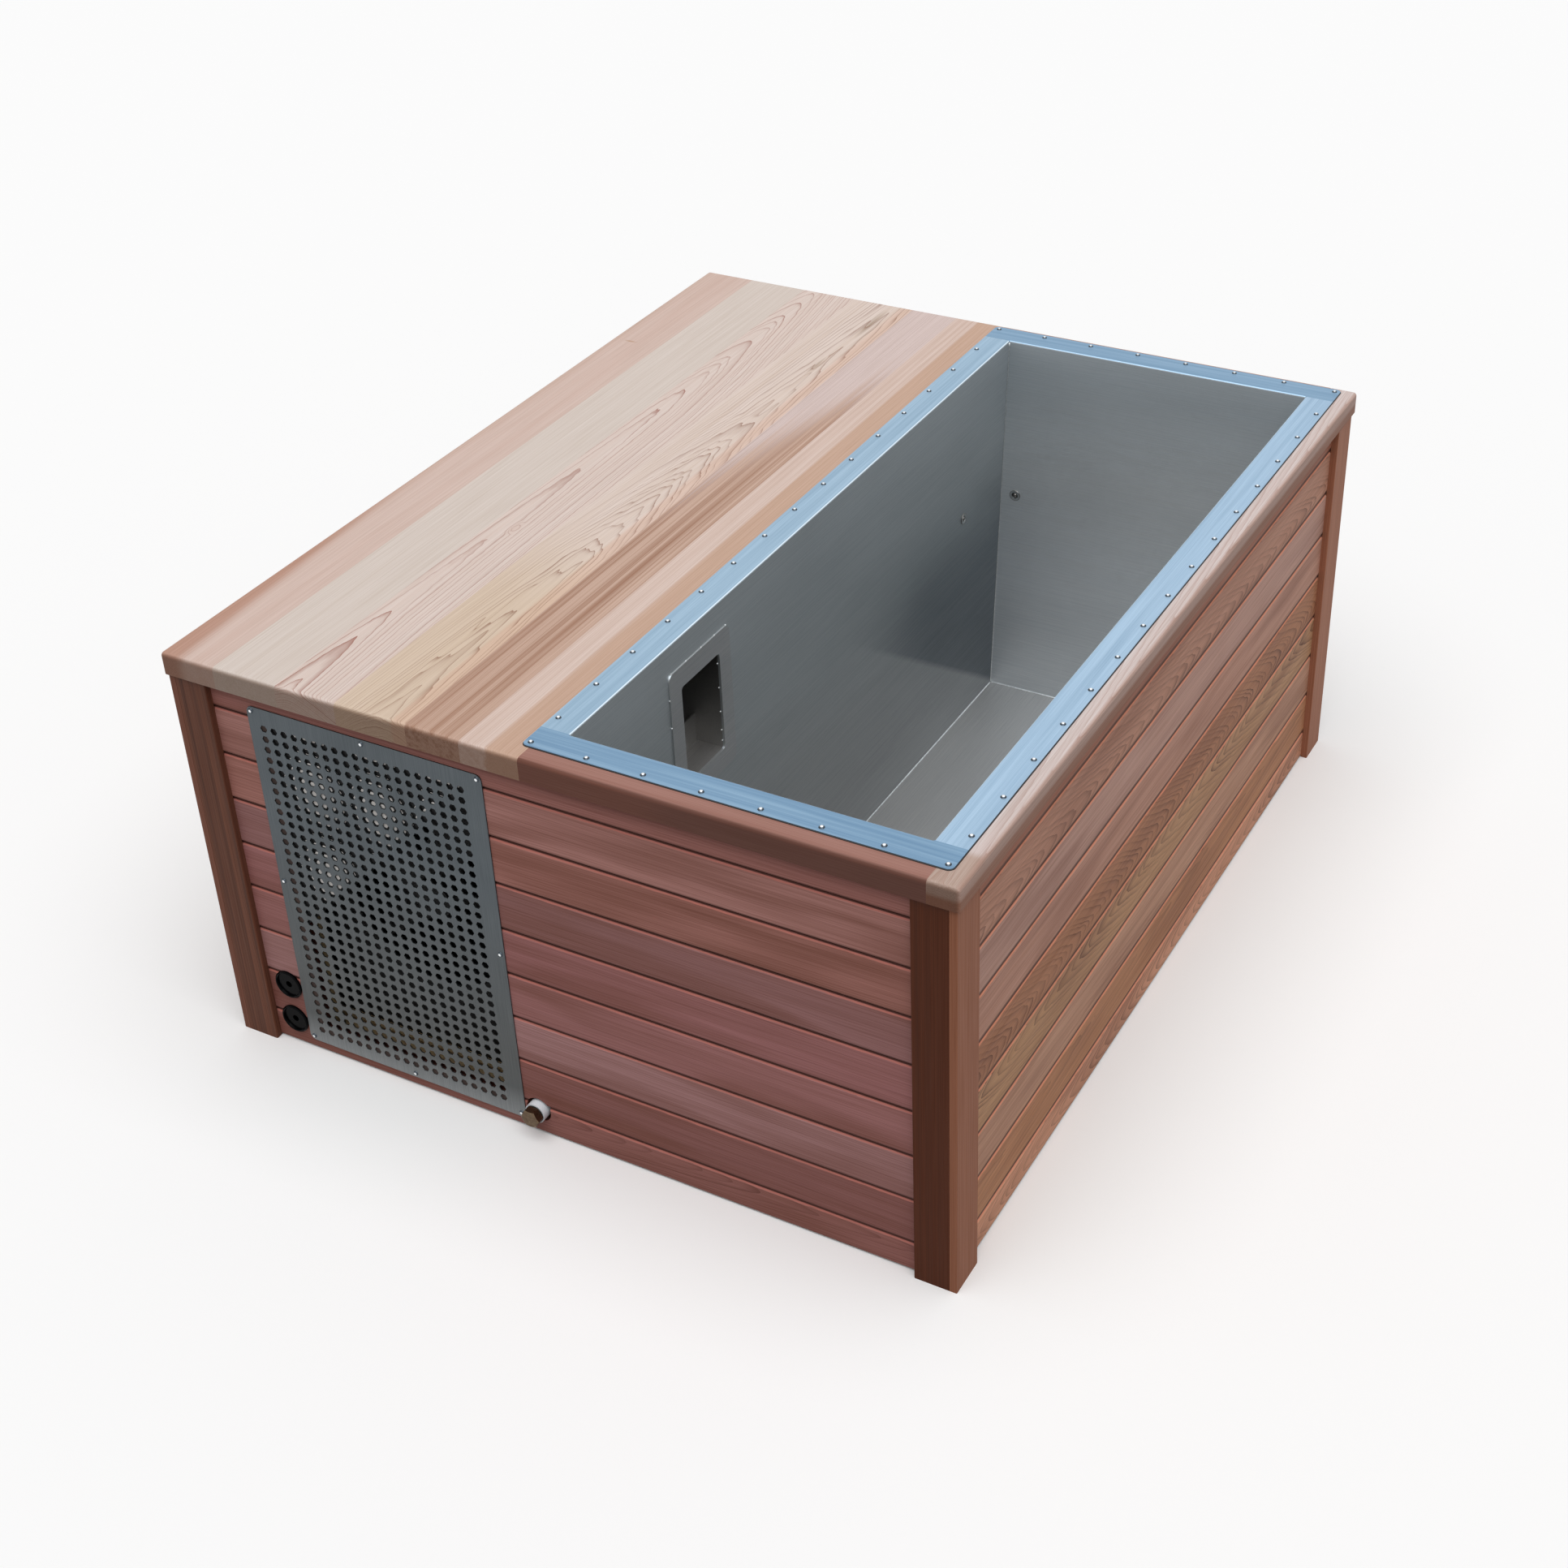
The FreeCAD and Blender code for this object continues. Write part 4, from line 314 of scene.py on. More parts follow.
paint(coated("glass-filled polypropylene, black", "#212225", "#191a1c", 0.5, 1.5),
      "pump_housing", "impeller")
paint(coated("PVC pipe, white", "#e6e8e8", "#dbdedf", 0.28, 6.0),
      "suction_pipe", "feed_pipe", "return_pipe")
paint(coated("PVC conduit, grey", "#777a7c", "#6b6e70", 0.5, 2.0), "pump_conduit")


# Filter cartridge: a pleated ring between two caps, standing in the skimmer box.
# Polyester fleece, soft white, with a fibrous surface.

tree, shader = material("polyester fleece, pleated")
place = add(tree, "TexCoord", {})
# fibres of 0.02 mm, drawn as tufts of 2 mm
tuft = add(tree, "TexNoise", {"Vector": place.outputs["Object"], "Scale": 1 / 0.002, "Detail": 4.0})
tone = add(tree, "ValToRGB", {0: tuft}, stops=[(0.3, "#dfe3e4"), (0.7, "#f2f4f4")])
relief = add(tree, "Bump", {"Height": tuft, "Strength": 0.4, "Distance": 0.0006})
tree.links.new(tone.outputs[0], shader.inputs["Base Color"])
tree.links.new(relief.outputs[0], shader.inputs["Normal"])
shader.inputs["Roughness"].default_value = 0.95
shader.inputs["Sheen Weight"].default_value = 0.3
paint(tree, "filter_cartridge")


# Basin: four walls and a floor in 2 mm sheet, each wall folded over into the rim flange.
# Stainless steel, line-brushed lengthwise, with painted reflections: rim painted pale sky blue, walls each
# other's grey.

# the inner floor, the foot of the folds, and a height between the deck and the flange's top face
FLOOR_LEVEL, FOLD_LEVEL, FLANGE_LEVEL = 0.030, 0.745, 0.7465


def brushed(name, along, sheet, rim=("#92acc0", "#a5bed1"), fold_highlight="#eff5f9", painted_shading=("#ffffff",) * 4,
            painted_dark_reflection=None):
    """Line-brushed sheet: the axis its lines run along, two tones of its faces and two of its rim, painted as
    the sky it mirrors, the tone of the painted highlight on its fold, and the painted shade and reflection of
    what it mirrors, from the floor up and in one lower corner."""
    tree, shader = material(name)
    place = add(tree, "TexCoord", {})
    axes = add(tree, "SeparateXYZ", {0: place.outputs["Object"]})
    facing = add(tree, "SeparateXYZ", {0: place.outputs["Normal"]})
    noises = []
    # brush lines 0.3 mm wide and 120 mm long, drawn 1.2 mm wide so that they show; clouds; the rim's streaks
    for wide, long, detail in ((0.0012, 0.12, 3.0), (0.10, 0.35, 4.0), (0.009, 0.5, 2.0)):
        stretch = [1 / (long if axis == along else wide) for axis in "XYZ"]
        grid = add(tree, "VectorMath", {0: place.outputs["Object"], 1: stretch}, operation="MULTIPLY")
        noises.append(add(tree, "TexNoise", {"Vector": grid, "Scale": 1.0, "Detail": detail}))
    lines, cloud, streaks = noises
    tone = add(tree, "ValToRGB", {0: cloud}, stops=[(0.3, sheet[0]), (0.7, sheet[1])])
    high = add(tree, "MapRange", {0: axes.outputs["Z"], 1: FLOOR_LEVEL, 2: FOLD_LEVEL})
    shade = add(tree, "ValToRGB", {0: high}, stops=list(zip((0.17, 0.38, 0.66, 0.94), painted_shading)))
    tone = add(tree, "Mix", {0: 1.0, 6: tone, 7: shade}, data_type="RGBA", blend_type="MULTIPLY")
    if painted_dark_reflection:
        # painted reflection: below a slanting line the wall mirrors the floor; above it, towards one lower
        # corner, it is painted darker as the basin's shaded end
        code, lean, edge, near, far, high_end, low_end = painted_dark_reflection
        above = add(tree, "Math", {0: axes.outputs["Y"], 1: lean, 2: axes.outputs["Z"]},
                    operation="MULTIPLY_ADD")
        above = add(tree, "MapRange", {0: above, 1: edge, 2: edge + 0.015})
        for axis, begin, stop in (("Y", near, far), ("Z", high_end, low_end)):
            reach = add(tree, "MapRange", {0: axes.outputs[axis], 1: begin, 2: stop},
                        interpolation_type="SMOOTHSTEP")
            above = add(tree, "Math", {0: above, 1: reach}, operation="MULTIPLY")
        tone = add(tree, "Mix", {0: above, 6: tone, 7: linear(code)}, data_type="RGBA",
                   blend_type="MULTIPLY")
    # the rim's two tones are a painted reflection: the pale blue of the sky it mirrors, lighter or darker per
    # wall
    strip = add(tree, "ValToRGB", {0: streaks}, stops=[(0.3, rim[0]), (0.7, rim[1])])
    on_rim = add(tree, "Math", {0: axes.outputs["Z"], 1: FLANGE_LEVEL}, operation="GREATER_THAN")
    tone = add(tree, "Mix", {0: on_rim, 6: tone, 7: strip}, data_type="RGBA")
    grain = add(tree, "ValToRGB", {0: lines}, stops=[(0.3, "#eff1f3"), (0.65, "#ffffff")])
    tone = add(tree, "Mix", {0: 1.0, 6: tone, 7: grain}, data_type="RGBA", blend_type="MULTIPLY")
    # painted highlight: a thin bright line along the fold between wall and flange, where the fold's faces
    # turn upward
    fold_highlight_mask = add(tree, "ValToRGB", {0: facing.outputs["Z"]},
              stops=[(0.55, "#000000"), (0.72, "#ffffff"), (0.92, "#ffffff"), (0.97, "#000000")])
    tone = add(tree, "Mix", {0: fold_highlight_mask, 6: tone, 7: linear(fold_highlight)}, data_type="RGBA")
    rough = add(tree, "MapRange", {0: lines, 1: 0.3, 2: 0.7, 3: 0.56, 4: 0.47})
    relief = add(tree, "Bump", {"Height": lines, "Strength": 0.05, "Distance": 0.0001})
    tree.links.new(tone.outputs[2], shader.inputs["Base Color"])
    tree.links.new(rough.outputs[0], shader.inputs["Roughness"])
    tree.links.new(relief.outputs[0], shader.inputs["Normal"])
    shader.inputs["Metallic"].default_value = 1.0
    return tree


# painted shade and reflection on the walls, from near the floor to near the rim; each wall's sheet tones are
# lit or shaded to suit what it mirrors
SIDE_SHEET, SIDE_PAINTED_SHADING = ("#c4c9cb", "#ccd1d3"), ("#d8d5d4", "#e1dfde", "#eeefef", "#f6f7f8")
REAR_SHEET, REAR_PAINTED_SHADING = ("#dfe4e7", "#e8edf0"), ("#f9f9f9", "#ffffff", "#f1f0ef", "#cfd2d4")
paint(brushed("stainless steel, brushed, left wall", "Y", SIDE_SHEET, fold_highlight="#d9e6ef", painted_shading=SIDE_PAINTED_SHADING,
              painted_dark_reflection=("#c0c5ca", 0.6875, 0.500, 0.05, 0.42, 0.60, 0.32)), "basin_left_wall")
paint(brushed("stainless steel, socket tube", "Y", SIDE_SHEET, painted_shading=SIDE_PAINTED_SHADING), "return_sockets")
paint(brushed("stainless steel, brushed, right wall", "Y", SIDE_SHEET, ("#9bb5cb", "#abc4d9"), "#c3d6e4",
              SIDE_PAINTED_SHADING), "basin_right_wall")
paint(brushed("stainless steel, brushed, front wall", "X", SIDE_SHEET, ("#6f90ad", "#8ba9c1"), "#b3c9da",
              SIDE_PAINTED_SHADING), "basin_front_wall")
paint(brushed("stainless steel, brushed, rear wall", "X", REAR_SHEET, ("#7c9cb6", "#8facc4"), "#9fb9cd",
              REAR_PAINTED_SHADING), "basin_rear_wall")
paint(brushed("stainless steel, brushed, floor", "Y", ("#aeadac", "#b3b2b1")), "basin_floor")


# Skimmer: a frame plate welded on the left wall, and a box with a low weir behind its mouth.
# The same stainless sheet: the plate keeps its mill grain; the box is painted darker, brown-grey, towards its
# top, as painted shade inside the mouth.

paint(brushed("stainless steel, mill-finish plate", "Y", ("#b6b7b8", "#bfc0c1")), "skimmer_frame")
paint(brushed("stainless steel, heat-tinted sheet", "Y", ("#b5b4b3", "#c1c0bf"),
              painted_shading=("#ffffff", "#ffffff", "#dedcda", "#4d4946")), "skimmer_box")


# Weld seams where the walls meet each other and the floor, and tacks round the skimmer's frame plate.
# TIG beads, wire-brushed bright, laid in small overlapping scallops.

tree, shader = material("TIG bead, wire-brushed")
place = add(tree, "TexCoord", {})
scallop = add(tree, "TexNoise", {"Vector": place.outputs["Object"], "Scale": 1 / 0.004, "Detail": 2.0})
tone = add(tree, "ValToRGB", {0: scallop}, stops=[(0.3, "#cfd2d2"), (0.7, "#f2f4f4")])
relief = add(tree, "Bump", {"Height": scallop, "Strength": 0.4, "Distance": 0.0005})
tree.links.new(tone.outputs[0], shader.inputs["Base Color"])
tree.links.new(relief.outputs[0], shader.inputs["Normal"])
shader.inputs["Metallic"].default_value = 1.0
shader.inputs["Roughness"].default_value = 0.3
bead_metal = tree


def piece(name, mesh, tree, body, smooth=True):
    """Puts a finished bmesh into the scene as a piece that rides a body and takes the finish of a node tree's
    material.
    """
    data = bpy.data.meshes.new(name)
    mesh.to_mesh(data)
    mesh.free()
    data.materials.append(next(m for m in bpy.data.materials if m.node_tree == tree))
    for face in data.polygons:
        face.use_smooth = smooth
    made = bpy.data.objects.new(name, data)
    bpy.context.scene.collection.objects.link(made)
    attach(made, body)


FLOOR_BEAD, CORNER_BEAD, BEAD_PITCH, BEAD_SIDES, SCALLOP = 0.0016, 0.0011, 0.006, 6, 0.18
seams = bmesh.new()
# the basin's inner faces; the rear wall leans, so its foot lies forward of its top
inner_left, inner_right, inner_front, rim_rear, foot_rear = 0.021, 0.599, -0.735, 0.755, 0.685
seam_top = 0.744
corners = {}
for end, foot_y, top_y in (("front", inner_front, inner_front), ("rear", foot_rear, rim_rear)):
    for side, x in (("left", inner_left), ("right", inner_right)):
        corners[end, side] = Vector((x, foot_y, FLOOR_LEVEL)), Vector((x, top_y, seam_top))
feet = {name: low for name, (low, high) in corners.items()}
runs = [(feet["front", side], feet["rear", side], FLOOR_BEAD) for side in ("left", "right")]
runs += [(feet[end, "left"], feet[end, "right"], FLOOR_BEAD) for end in ("front", "rear")]
runs += [(low, high, CORNER_BEAD) for low, high in corners.values()]
for start, end, size in runs:
    count = round((end - start).length / BEAD_PITCH)
    turn = (end - start).to_track_quat("Z", "Y").to_matrix()
    before = None
    for i in range(count + 1):
        middle = start.lerp(end, i / count)
        swell = size * (1.0 + SCALLOP * (i % 2))
        ring = [seams.verts.new(middle + turn @ Vector((swell * math.cos(a), swell * math.sin(a), 0)))
                for a in (math.tau * k / BEAD_SIDES for k in range(BEAD_SIDES))]
        if before:
            for k in range(BEAD_SIDES):
                after = (k + 1) % BEAD_SIDES
                seams.faces.new((before[k], before[after], ring[after], ring[k]))
        if i in (0, count):
            seams.faces.new(ring if i else ring[::-1])
        before = ring
piece("weld_seams", seams, bead_metal, "cabinet")

# along the plate's upper and front edges, flattened by the wire brush, and up the mouth's rear edge
PLATE_TACK, TACK_SUNK, TACK_FLAT = 0.0018, 0.001, 0.6
MOUTH_TACK, MOUTH_DEPTH, MOUTH_REAR = 0.0014, 0.003, -0.3305
tacks = bmesh.new()
plate_low, plate_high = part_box("skimmer_frame")
outer = [(y, plate_high.z) for y in (-0.468, -0.425, -0.380, -0.340, -0.306)]
outer += [(plate_low.y, z) for z in (0.655, 0.605, 0.520, 0.470)]
for y, z in outer:
    dot = bmesh.ops.create_icosphere(tacks, subdivisions=2, radius=PLATE_TACK)
    bmesh.ops.scale(tacks, verts=dot["verts"], vec=(TACK_FLAT, 1.0, 1.0))
    bmesh.ops.translate(tacks, verts=dot["verts"], vec=(plate_high.x - TACK_SUNK, y, z))
for z in (0.640, 0.595, 0.550, 0.515, 0.495):
    dot = bmesh.ops.create_icosphere(tacks, subdivisions=2, radius=MOUTH_TACK)
    bmesh.ops.translate(tacks, verts=dot["verts"], vec=(inner_left - MOUTH_DEPTH, MOUTH_REAR, z))
piece("skimmer_tacks", tacks, bead_metal, "cabinet")


# Return jets: a domed insert in each of the two sockets, and the bead that welds the socket to its wall.
# Stainless steel, turned and dulled by the water, which comes out round the dome's edge.

JET_STEPS = 32
# radius and height over the socket's mouth, from the dome's tip round to the back; then the bead's section
jet_outline = ((0.0022, 0.0006), (0.0040, -0.0006), (0.0044, -0.0030), (0.0064, -0.0032), (0.0064, -0.0060),
               (0.0022, -0.0060))
bead_outline = ((0.0105, -0.0016), (0.0111, -0.0006), (0.0107, 0.0002), (0.0099, 0.0002), (0.0096, -0.0006))
left_mouth, rear_mouth = Vector((0.0225, 0.557, 0.466)), Vector((0.0505, 0.7237, 0.442))
up = Vector((0, 0, 1))
jets = bmesh.new()
for mouth, out, side in ((left_mouth, Vector((1, 0, 0)), Vector((0, 1, 0))),
                         (rear_mouth, Vector((0, -1, 0)), Vector((1, 0, 0)))):
    for profile in (jet_outline, bead_outline):
        turns = []
        for angle in (math.tau * k / JET_STEPS for k in range(JET_STEPS)):
            way = side * math.cos(angle) + up * math.sin(angle)
            turns.append([jets.verts.new(mouth + radius * way + high * out) for radius, high in profile])
        closed = profile is bead_outline
        for one, two in zip(turns, turns[1:] + turns[:1]):
            for k in range(0 if closed else 1, len(profile)):
                jets.faces.new((one[k - 1], one[k], two[k], two[k - 1]))
        if not closed:
            jets.faces.new([ring[0] for ring in turns])
            jets.faces.new([ring[-1] for ring in turns[::-1]])
bmesh.ops.recalc_face_normals(jets, faces=jets.faces)
tree, shader = material("stainless steel, turned")
place = add(tree, "TexCoord", {})
cloud = add(tree, "TexNoise", {"Vector": place.outputs["Object"], "Scale": 1 / 0.003, "Detail": 2.0})
tone = add(tree, "ValToRGB", {0: cloud}, stops=[(0.3, "#75716c"), (0.7, "#8d8b88")])
tree.links.new(tone.outputs[0], shader.inputs["Base Color"])
shader.inputs["Metallic"].default_value = 1.0
shader.inputs["Roughness"].default_value = 0.35
piece("return_jets", jets, tree, "cabinet")


# Rim shadow line: a thin dark bead round the flange's outer edge, in the corner between steel and deck.
# It is a painted shadow, black with a dull shine, for the shade under the flange's edge; from above it draws
# a dark line round the rim.

DECK_TOP, BEAD_OUT, BEAD_UP, BEAD_IN, CORNER_RADIUS, CORNER_STEPS = 0.746, 0.0016, 0.0015, 0.0004, 0.009, 6
# how far out from the flange's edge and how high over the deck the bead's corners lie
bead_section = ((-BEAD_IN, 0.0), (BEAD_OUT, 0.0), (0.5 * BEAD_OUT, 0.7 * BEAD_UP), (-BEAD_IN, BEAD_UP))
rim_left, rim_right, rim_front, rim_back = -0.029, 0.649, -0.785, 0.805
round_rim = []
for turn, (x, y) in enumerate(((rim_right, rim_back), (rim_left, rim_back), (rim_left, rim_front),
                               (rim_right, rim_front))):
    inset = Vector((CORNER_RADIUS if x > 0 else -CORNER_RADIUS, CORNER_RADIUS if y > 0 else -CORNER_RADIUS))
    for k in range(CORNER_STEPS + 1):
        angle = math.tau / 4 * (turn + k / CORNER_STEPS)
        way = Vector((math.cos(angle), math.sin(angle)))
        round_rim.append((Vector((x, y)) - inset + CORNER_RADIUS * way, way))
shadow_line = bmesh.new()
bead = [[shadow_line.verts.new((*(at + out * way), DECK_TOP + high)) for out, high in bead_section]
        for at, way in round_rim]
for one, two in zip(bead, bead[1:] + bead[:1]):
    for k in range(len(bead_section)):
        shadow_line.faces.new((one[k - 1], one[k], two[k], two[k - 1]))
bmesh.ops.recalc_face_normals(shadow_line, faces=shadow_line.faces)
shadow_line_finish = coated("silicone sealant, black", "#1c1d1f", "#151617", 0.45, 4.0)
piece("rim_shadow_line", shadow_line, shadow_line_finish, "cabinet")


# Cladding: tongue-and-groove courses with V joints, nailed to the posts, tongue up.
# Western red cedar, planed and oiled; rose-brown heartwood whose boards differ in tone and figure.

# floor to the first V joint, and from joint to joint
COURSE = (57.0, 86.0)
# from the bottom course up: tone, climb of its rings, arches' centre off its middle, strength of its lines
front_rows = (
    ("#ab746d", 0.06, 30.0, 0.5), ("#9f6b66", 0.012, -240.0, 0.3), ("#c19190", -0.01, 300.0, 0.25),
    ("#b8807e", 0.014, 220.0, 0.25), ("#b57c7b", 0.01, -260.0, 0.3), ("#ac7c7a", -0.016, 250.0, 0.3),
    ("#c0867c", 0.02, 120.0, 0.35), ("#c89189", 0.008, -280.0, 0.3), ("#b77d75", 0.012, 240.0, 0.3))
right_rows = (
    ("#f1b292", -0.15, 10.0, 0.7), ("#d09670", 0.03, 20.0, 0.5), ("#dbaa8f", 0.05, -50.0, 0.45),
    ("#d3a47e", -0.125, 24.0, 1.0), ("#c08867", 0.23, -16.0, 1.0), ("#d2a08c", 0.004, 300.0, 0.15),
    ("#d8ac9d", 0.008, 220.0, 0.25), ("#d49f88", 0.14, -22.0, 0.9), ("#bf816a", 0.01, 200.0, 0.3))
left_rows = (
    ("#be8975", 0.18, 20.0, 0.8), ("#c8957f", 0.03, 60.0, 0.5), ("#af786d", 0.01, 240.0, 0.2),
    ("#c5957b", 0.2, -12.0, 0.9), ("#bc856f", 0.06, 40.0, 0.5), ("#cb9f8c", 0.008, 280.0, 0.2),
    ("#b27c6b", 0.16, -20.0, 0.8), ("#c18f7d", 0.02, 120.0, 0.3), ("#b88573", 0.04, -60.0, 0.5))
rear_rows = (
    ("#c28f79", 0.03, 50.0, 0.5), ("#b57e6d", 0.17, -18.0, 0.8), ("#ca9a82", 0.012, 260.0, 0.2),
    ("#b88875", 0.2, 22.0, 0.9), ("#c5917d", 0.008, -240.0, 0.2), ("#b07869", 0.06, 30.0, 0.5),
    ("#c39683", 0.19, 8.0, 0.9), ("#ba836f", 0.02, 200.0, 0.3), ("#bf8f7b", 0.05, -40.0, 0.5))
CLADDING = {"early": "#bf9280", "centre": 0.0, "late": "#542819", "band": "#7f4c3b", "fibre": "#e6e0db"}
FIGURED = {"ring": 5.0, "half": 12.0, "slope": 0.55, "sway": 6.0, "jag": 1.3, "tooth": (10.0, 30.0),
           "line": 1.0, "sharp": 2.6, "streak": 0.25, "stripe": (22.0, 700.0), "sweep": 0.3, "fade": 0.55,
           "patch": 0.4}
# a bevel: fresh tone with its painted highlight, depth where painted shadow begins, place of the boards'
# face, way in, height of the painted shade on the arris
paint(timber("red cedar cladding, front", "X", "Z", "Y", ring=4.4, half=22.0, sway=9.0, line=1.0,
             streak=0.36, stripe=(26.0, 900.0), sweep=0.42, courses=(*COURSE, front_rows),
             bevel=("#c2766a", 2.3, -800.0, 1.0, 7.5), **CLADDING), "front_cladding")
paint(timber("red cedar cladding, right", "Y", "Z", "X", courses=(*COURSE, right_rows),
             bevel=("#ee9d80", 2.1, 658.0, -1.0, 10.0), **CLADDING, **FIGURED), "right_cladding")
paint(timber("red cedar cladding, left", "Y", "Z", "X", courses=(*COURSE, left_rows),
             bevel=("#e09079", 2.2, -658.0, 1.0, 8.5), **CLADDING, **FIGURED), "left_cladding")
paint(timber("red cedar cladding, rear", "X", "Z", "Y", courses=(*COURSE, rear_rows),
             bevel=("#e09079", 2.2, 800.0, -1.0, 8.5), **CLADDING, **FIGURED), "rear_cladding")


# Corner trims: two boards on each corner, eased along their edges and nailed over the cladding's ends.
# Western red cedar heartwood, straight-grained; the front ones are the darkest boards on the cabinet.

# tone, axes across and through the board, early and late wood, stripes and their strength
for tone, across, thick, early, late, band, streak, boards in (
        ("dark streaked", "X", "Y", "#7e4f3c", "#3a2119", "#33201a", 0.7, ("front_trim_left",)),
        ("chocolate", "X", "Y", "#57270b", "#361606", "#3e1a08", 0.45, ("front_trim_right",)),
        ("tan brown", "Y", "X", "#a96f54", "#784632", "#8c573f", 0.4, ("right_trim_front",)),
        ("light brown", "Y", "X", "#b67b60", "#824e39", "#976047", 0.4, ("right_trim_rear",)),
        ("red brown", "Y", "X", "#8c5a48", "#553026", "#6a4032", 0.5, ("left_trim_front", "left_trim_rear")),
        ("brown", "X", "Y", "#96634c", "#623d2c", "#784b39", 0.45, ("rear_trim_left", "rear_trim_right"))):
    trim = timber(f"red cedar trim, {tone}", "Z", across, thick, early, late, band=band, streak=streak,
                  ring=3.4, stripe=(8.0, 1500.0))
    paint(trim, *boards)


# Deck: six boards over the equipment bay, glued edge to edge, their outer edges rounded over.
# Western red cedar, planed and oiled; pale sapwood and pink heartwood side by side, arched or straight grain.

# a spot: its place across and along, half sizes, lift of the rings, colour and strength
# a tint: its colour and strength, the way it grows, where it begins and is full, and how far its edge frays
DECK = {"along": "Y", "across": "X", "thick": "Z", "fibre": "#f2efec"}
paint(timber("red cedar deck board, salmon", early="#d6bfb5", late="#c49c8b", band="#c8a596", ring=7.0,
             line=0.2, streak=0.32, stripe=(18.0, 1300.0),
             tints=(("#c3a797", 0.5, (1.0, 0.0, 0.0), -650.0, -674.0, 20.0),
                    ("#b68b78", 0.85, (1.0, 0.056, 0.0), -668.0, -692.0, 16.0)),
             spots=((-632.0, 458.0, 16.0, 4.0, 0.0, "#b48c68", 0.7),), **DECK), "top_board_1")
paint(timber("red cedar deck board, cream sapwood", early="#dacec6", late="#c2ae9f", band="#cdbeb1", ring=6.0,
             line=0.25, streak=0.32, stripe=(9.0, 1900.0), **DECK), "top_board_2")
paint(timber("red cedar deck board, pale pink, arched", early="#dfcfc7", late="#9a6152", band="#d4b6a8",
             ring=4.0, centre=-428.0, half=23.0, slope=0.6, sway=1.5, jag=0.7, line=1.0, sharp=8.0,
             streak=0.25, lift=((-817.0, -563.0, 9.0), (-563.0, -53.0, 8.0), (-53.0, 227.0, 4.0),
                                (227.0, 407.0, 9.0), (407.0, 817.0, 32.0)),
             spots=((-408.0, -255.0, 12.0, 30.0, 9.0, "#c79a88", 0.15),), **DECK), "top_board_3")
paint(timber("red cedar deck board, flame figure", early="#e2d2c9", late="#86563f", band="#cdb49d", ring=4.0,
             centre=-254.0, half=66.0, slope=1.1, sway=2.5, jag=4.0, tooth=(15.0, 160.0), fade=0.6, line=0.95,
             sharp=6.0, streak=0.3,
             lift=((-817.0, -283.0, 16.0), (-283.0, 277.0, 50.0), (277.0, 817.0, 14.0)),
             tints=(("#d8c3ad", 0.85, (0.0, 1.0, 0.0), -150.0, -480.0, 260.0),
                    ("#d9ae96", 0.4, (1.0, 0.0, 0.0), -241.0, -232.0, 0.0)),
             spots=((-276.0, -560.0, 8.0, 190.0, 3.0, "#9a7350", 0.6),
                    (-255.0, 720.0, 9.0, 100.0, 2.0, "#86705c", 0.75),
                    (-258.0, 510.0, 7.0, 50.0, 3.0, "#967c66", 0.6)), **DECK), "top_board_4")
paint(timber("red cedar deck board, brown streaked", early="#cfb1a0", late="#7b4e3b", band="#95694f",
             ring=3.0, line=0.5, streak=0.75, stripe=(6.0, 1500.0),
             tints=(("#b8937e", 0.3, (0.0, 1.0, 0.0), -200.0, -800.0, 0.0),
                    ("#dccac6", 0.95, (-5.16, 1.0, 0.0), 950.0, 1300.0, 700.0)),
             spots=((-148.0, -350.0, 8.0, 420.0, 0.0, "#8d614b", 0.5),), **DECK), "top_board_5")
paint(timber("red cedar deck board, tan with sapwood", early="#dec9bf", late="#a97a60", band="#b8927b",
             ring=4.0, line=0.28, streak=0.35, stripe=(9.0, 1700.0),
             tints=(("#c6a38c", 0.8, (1.0, 0.0, 0.0), -76.0, -66.0, 14.0),), **DECK), "top_board_6")


# Rails round the basin: front, rear and right timbers that finish the deck under the rim flange.
# Western red cedar; the front one is reddish heartwood, darker on its face; the right one is pale.

paint(timber("red cedar rail, red brown", "X", "Y", "Z", early="#a67b70", late="#7c4d40", band="#8a5a4d",
             ring=3.2, line=0.35, streak=0.4,
             tints=(("#5f3c32", 0.9, (0.0, 1.0, 0.0), -810.0, -816.0, 0.0),
                    ("#744b3f", 0.9, (-1.0, -50.0, 0.0), 40590.0, 40690.0, 0.0))), "front_rail")
paint(timber("red cedar rail, orange brown", "X", "Y", "Z", early="#b78f7c", late="#8a5a45", band="#9c6e5a",
             ring=3.2, line=0.35, streak=0.4), "rear_rail")
paint(timber("red cedar rail, pale", "Y", "X", "Z", early="#dccfcc", late="#a67e70", band="#bf9f93", ring=3.6,
             centre=640.0, half=40.0, slope=0.9, jag=0.6, line=0.55, streak=0.3,
             lift=((-817.0, 817.0, 50.0),),
             tints=(("#b79d8e", 0.8, (0.0, 1.0, 0.0), -730.0, -748.0, 0.0),
                    ("#c2a194", 0.85, (1.0, 0.0, 0.0), 668.0, 674.0, 0.0),
                    ("#96664f", 0.85, (0.0, 0.0, -1.0), -731.0, -720.0, 0.0))), "right_rail")


# Screws: pan heads along the rim flange and round the grille, driven home on the sheet.
# Stainless steel, cold-headed and tumbled; the crowns carry a painted highlight and the flanks painted shade,
# dull and dark.

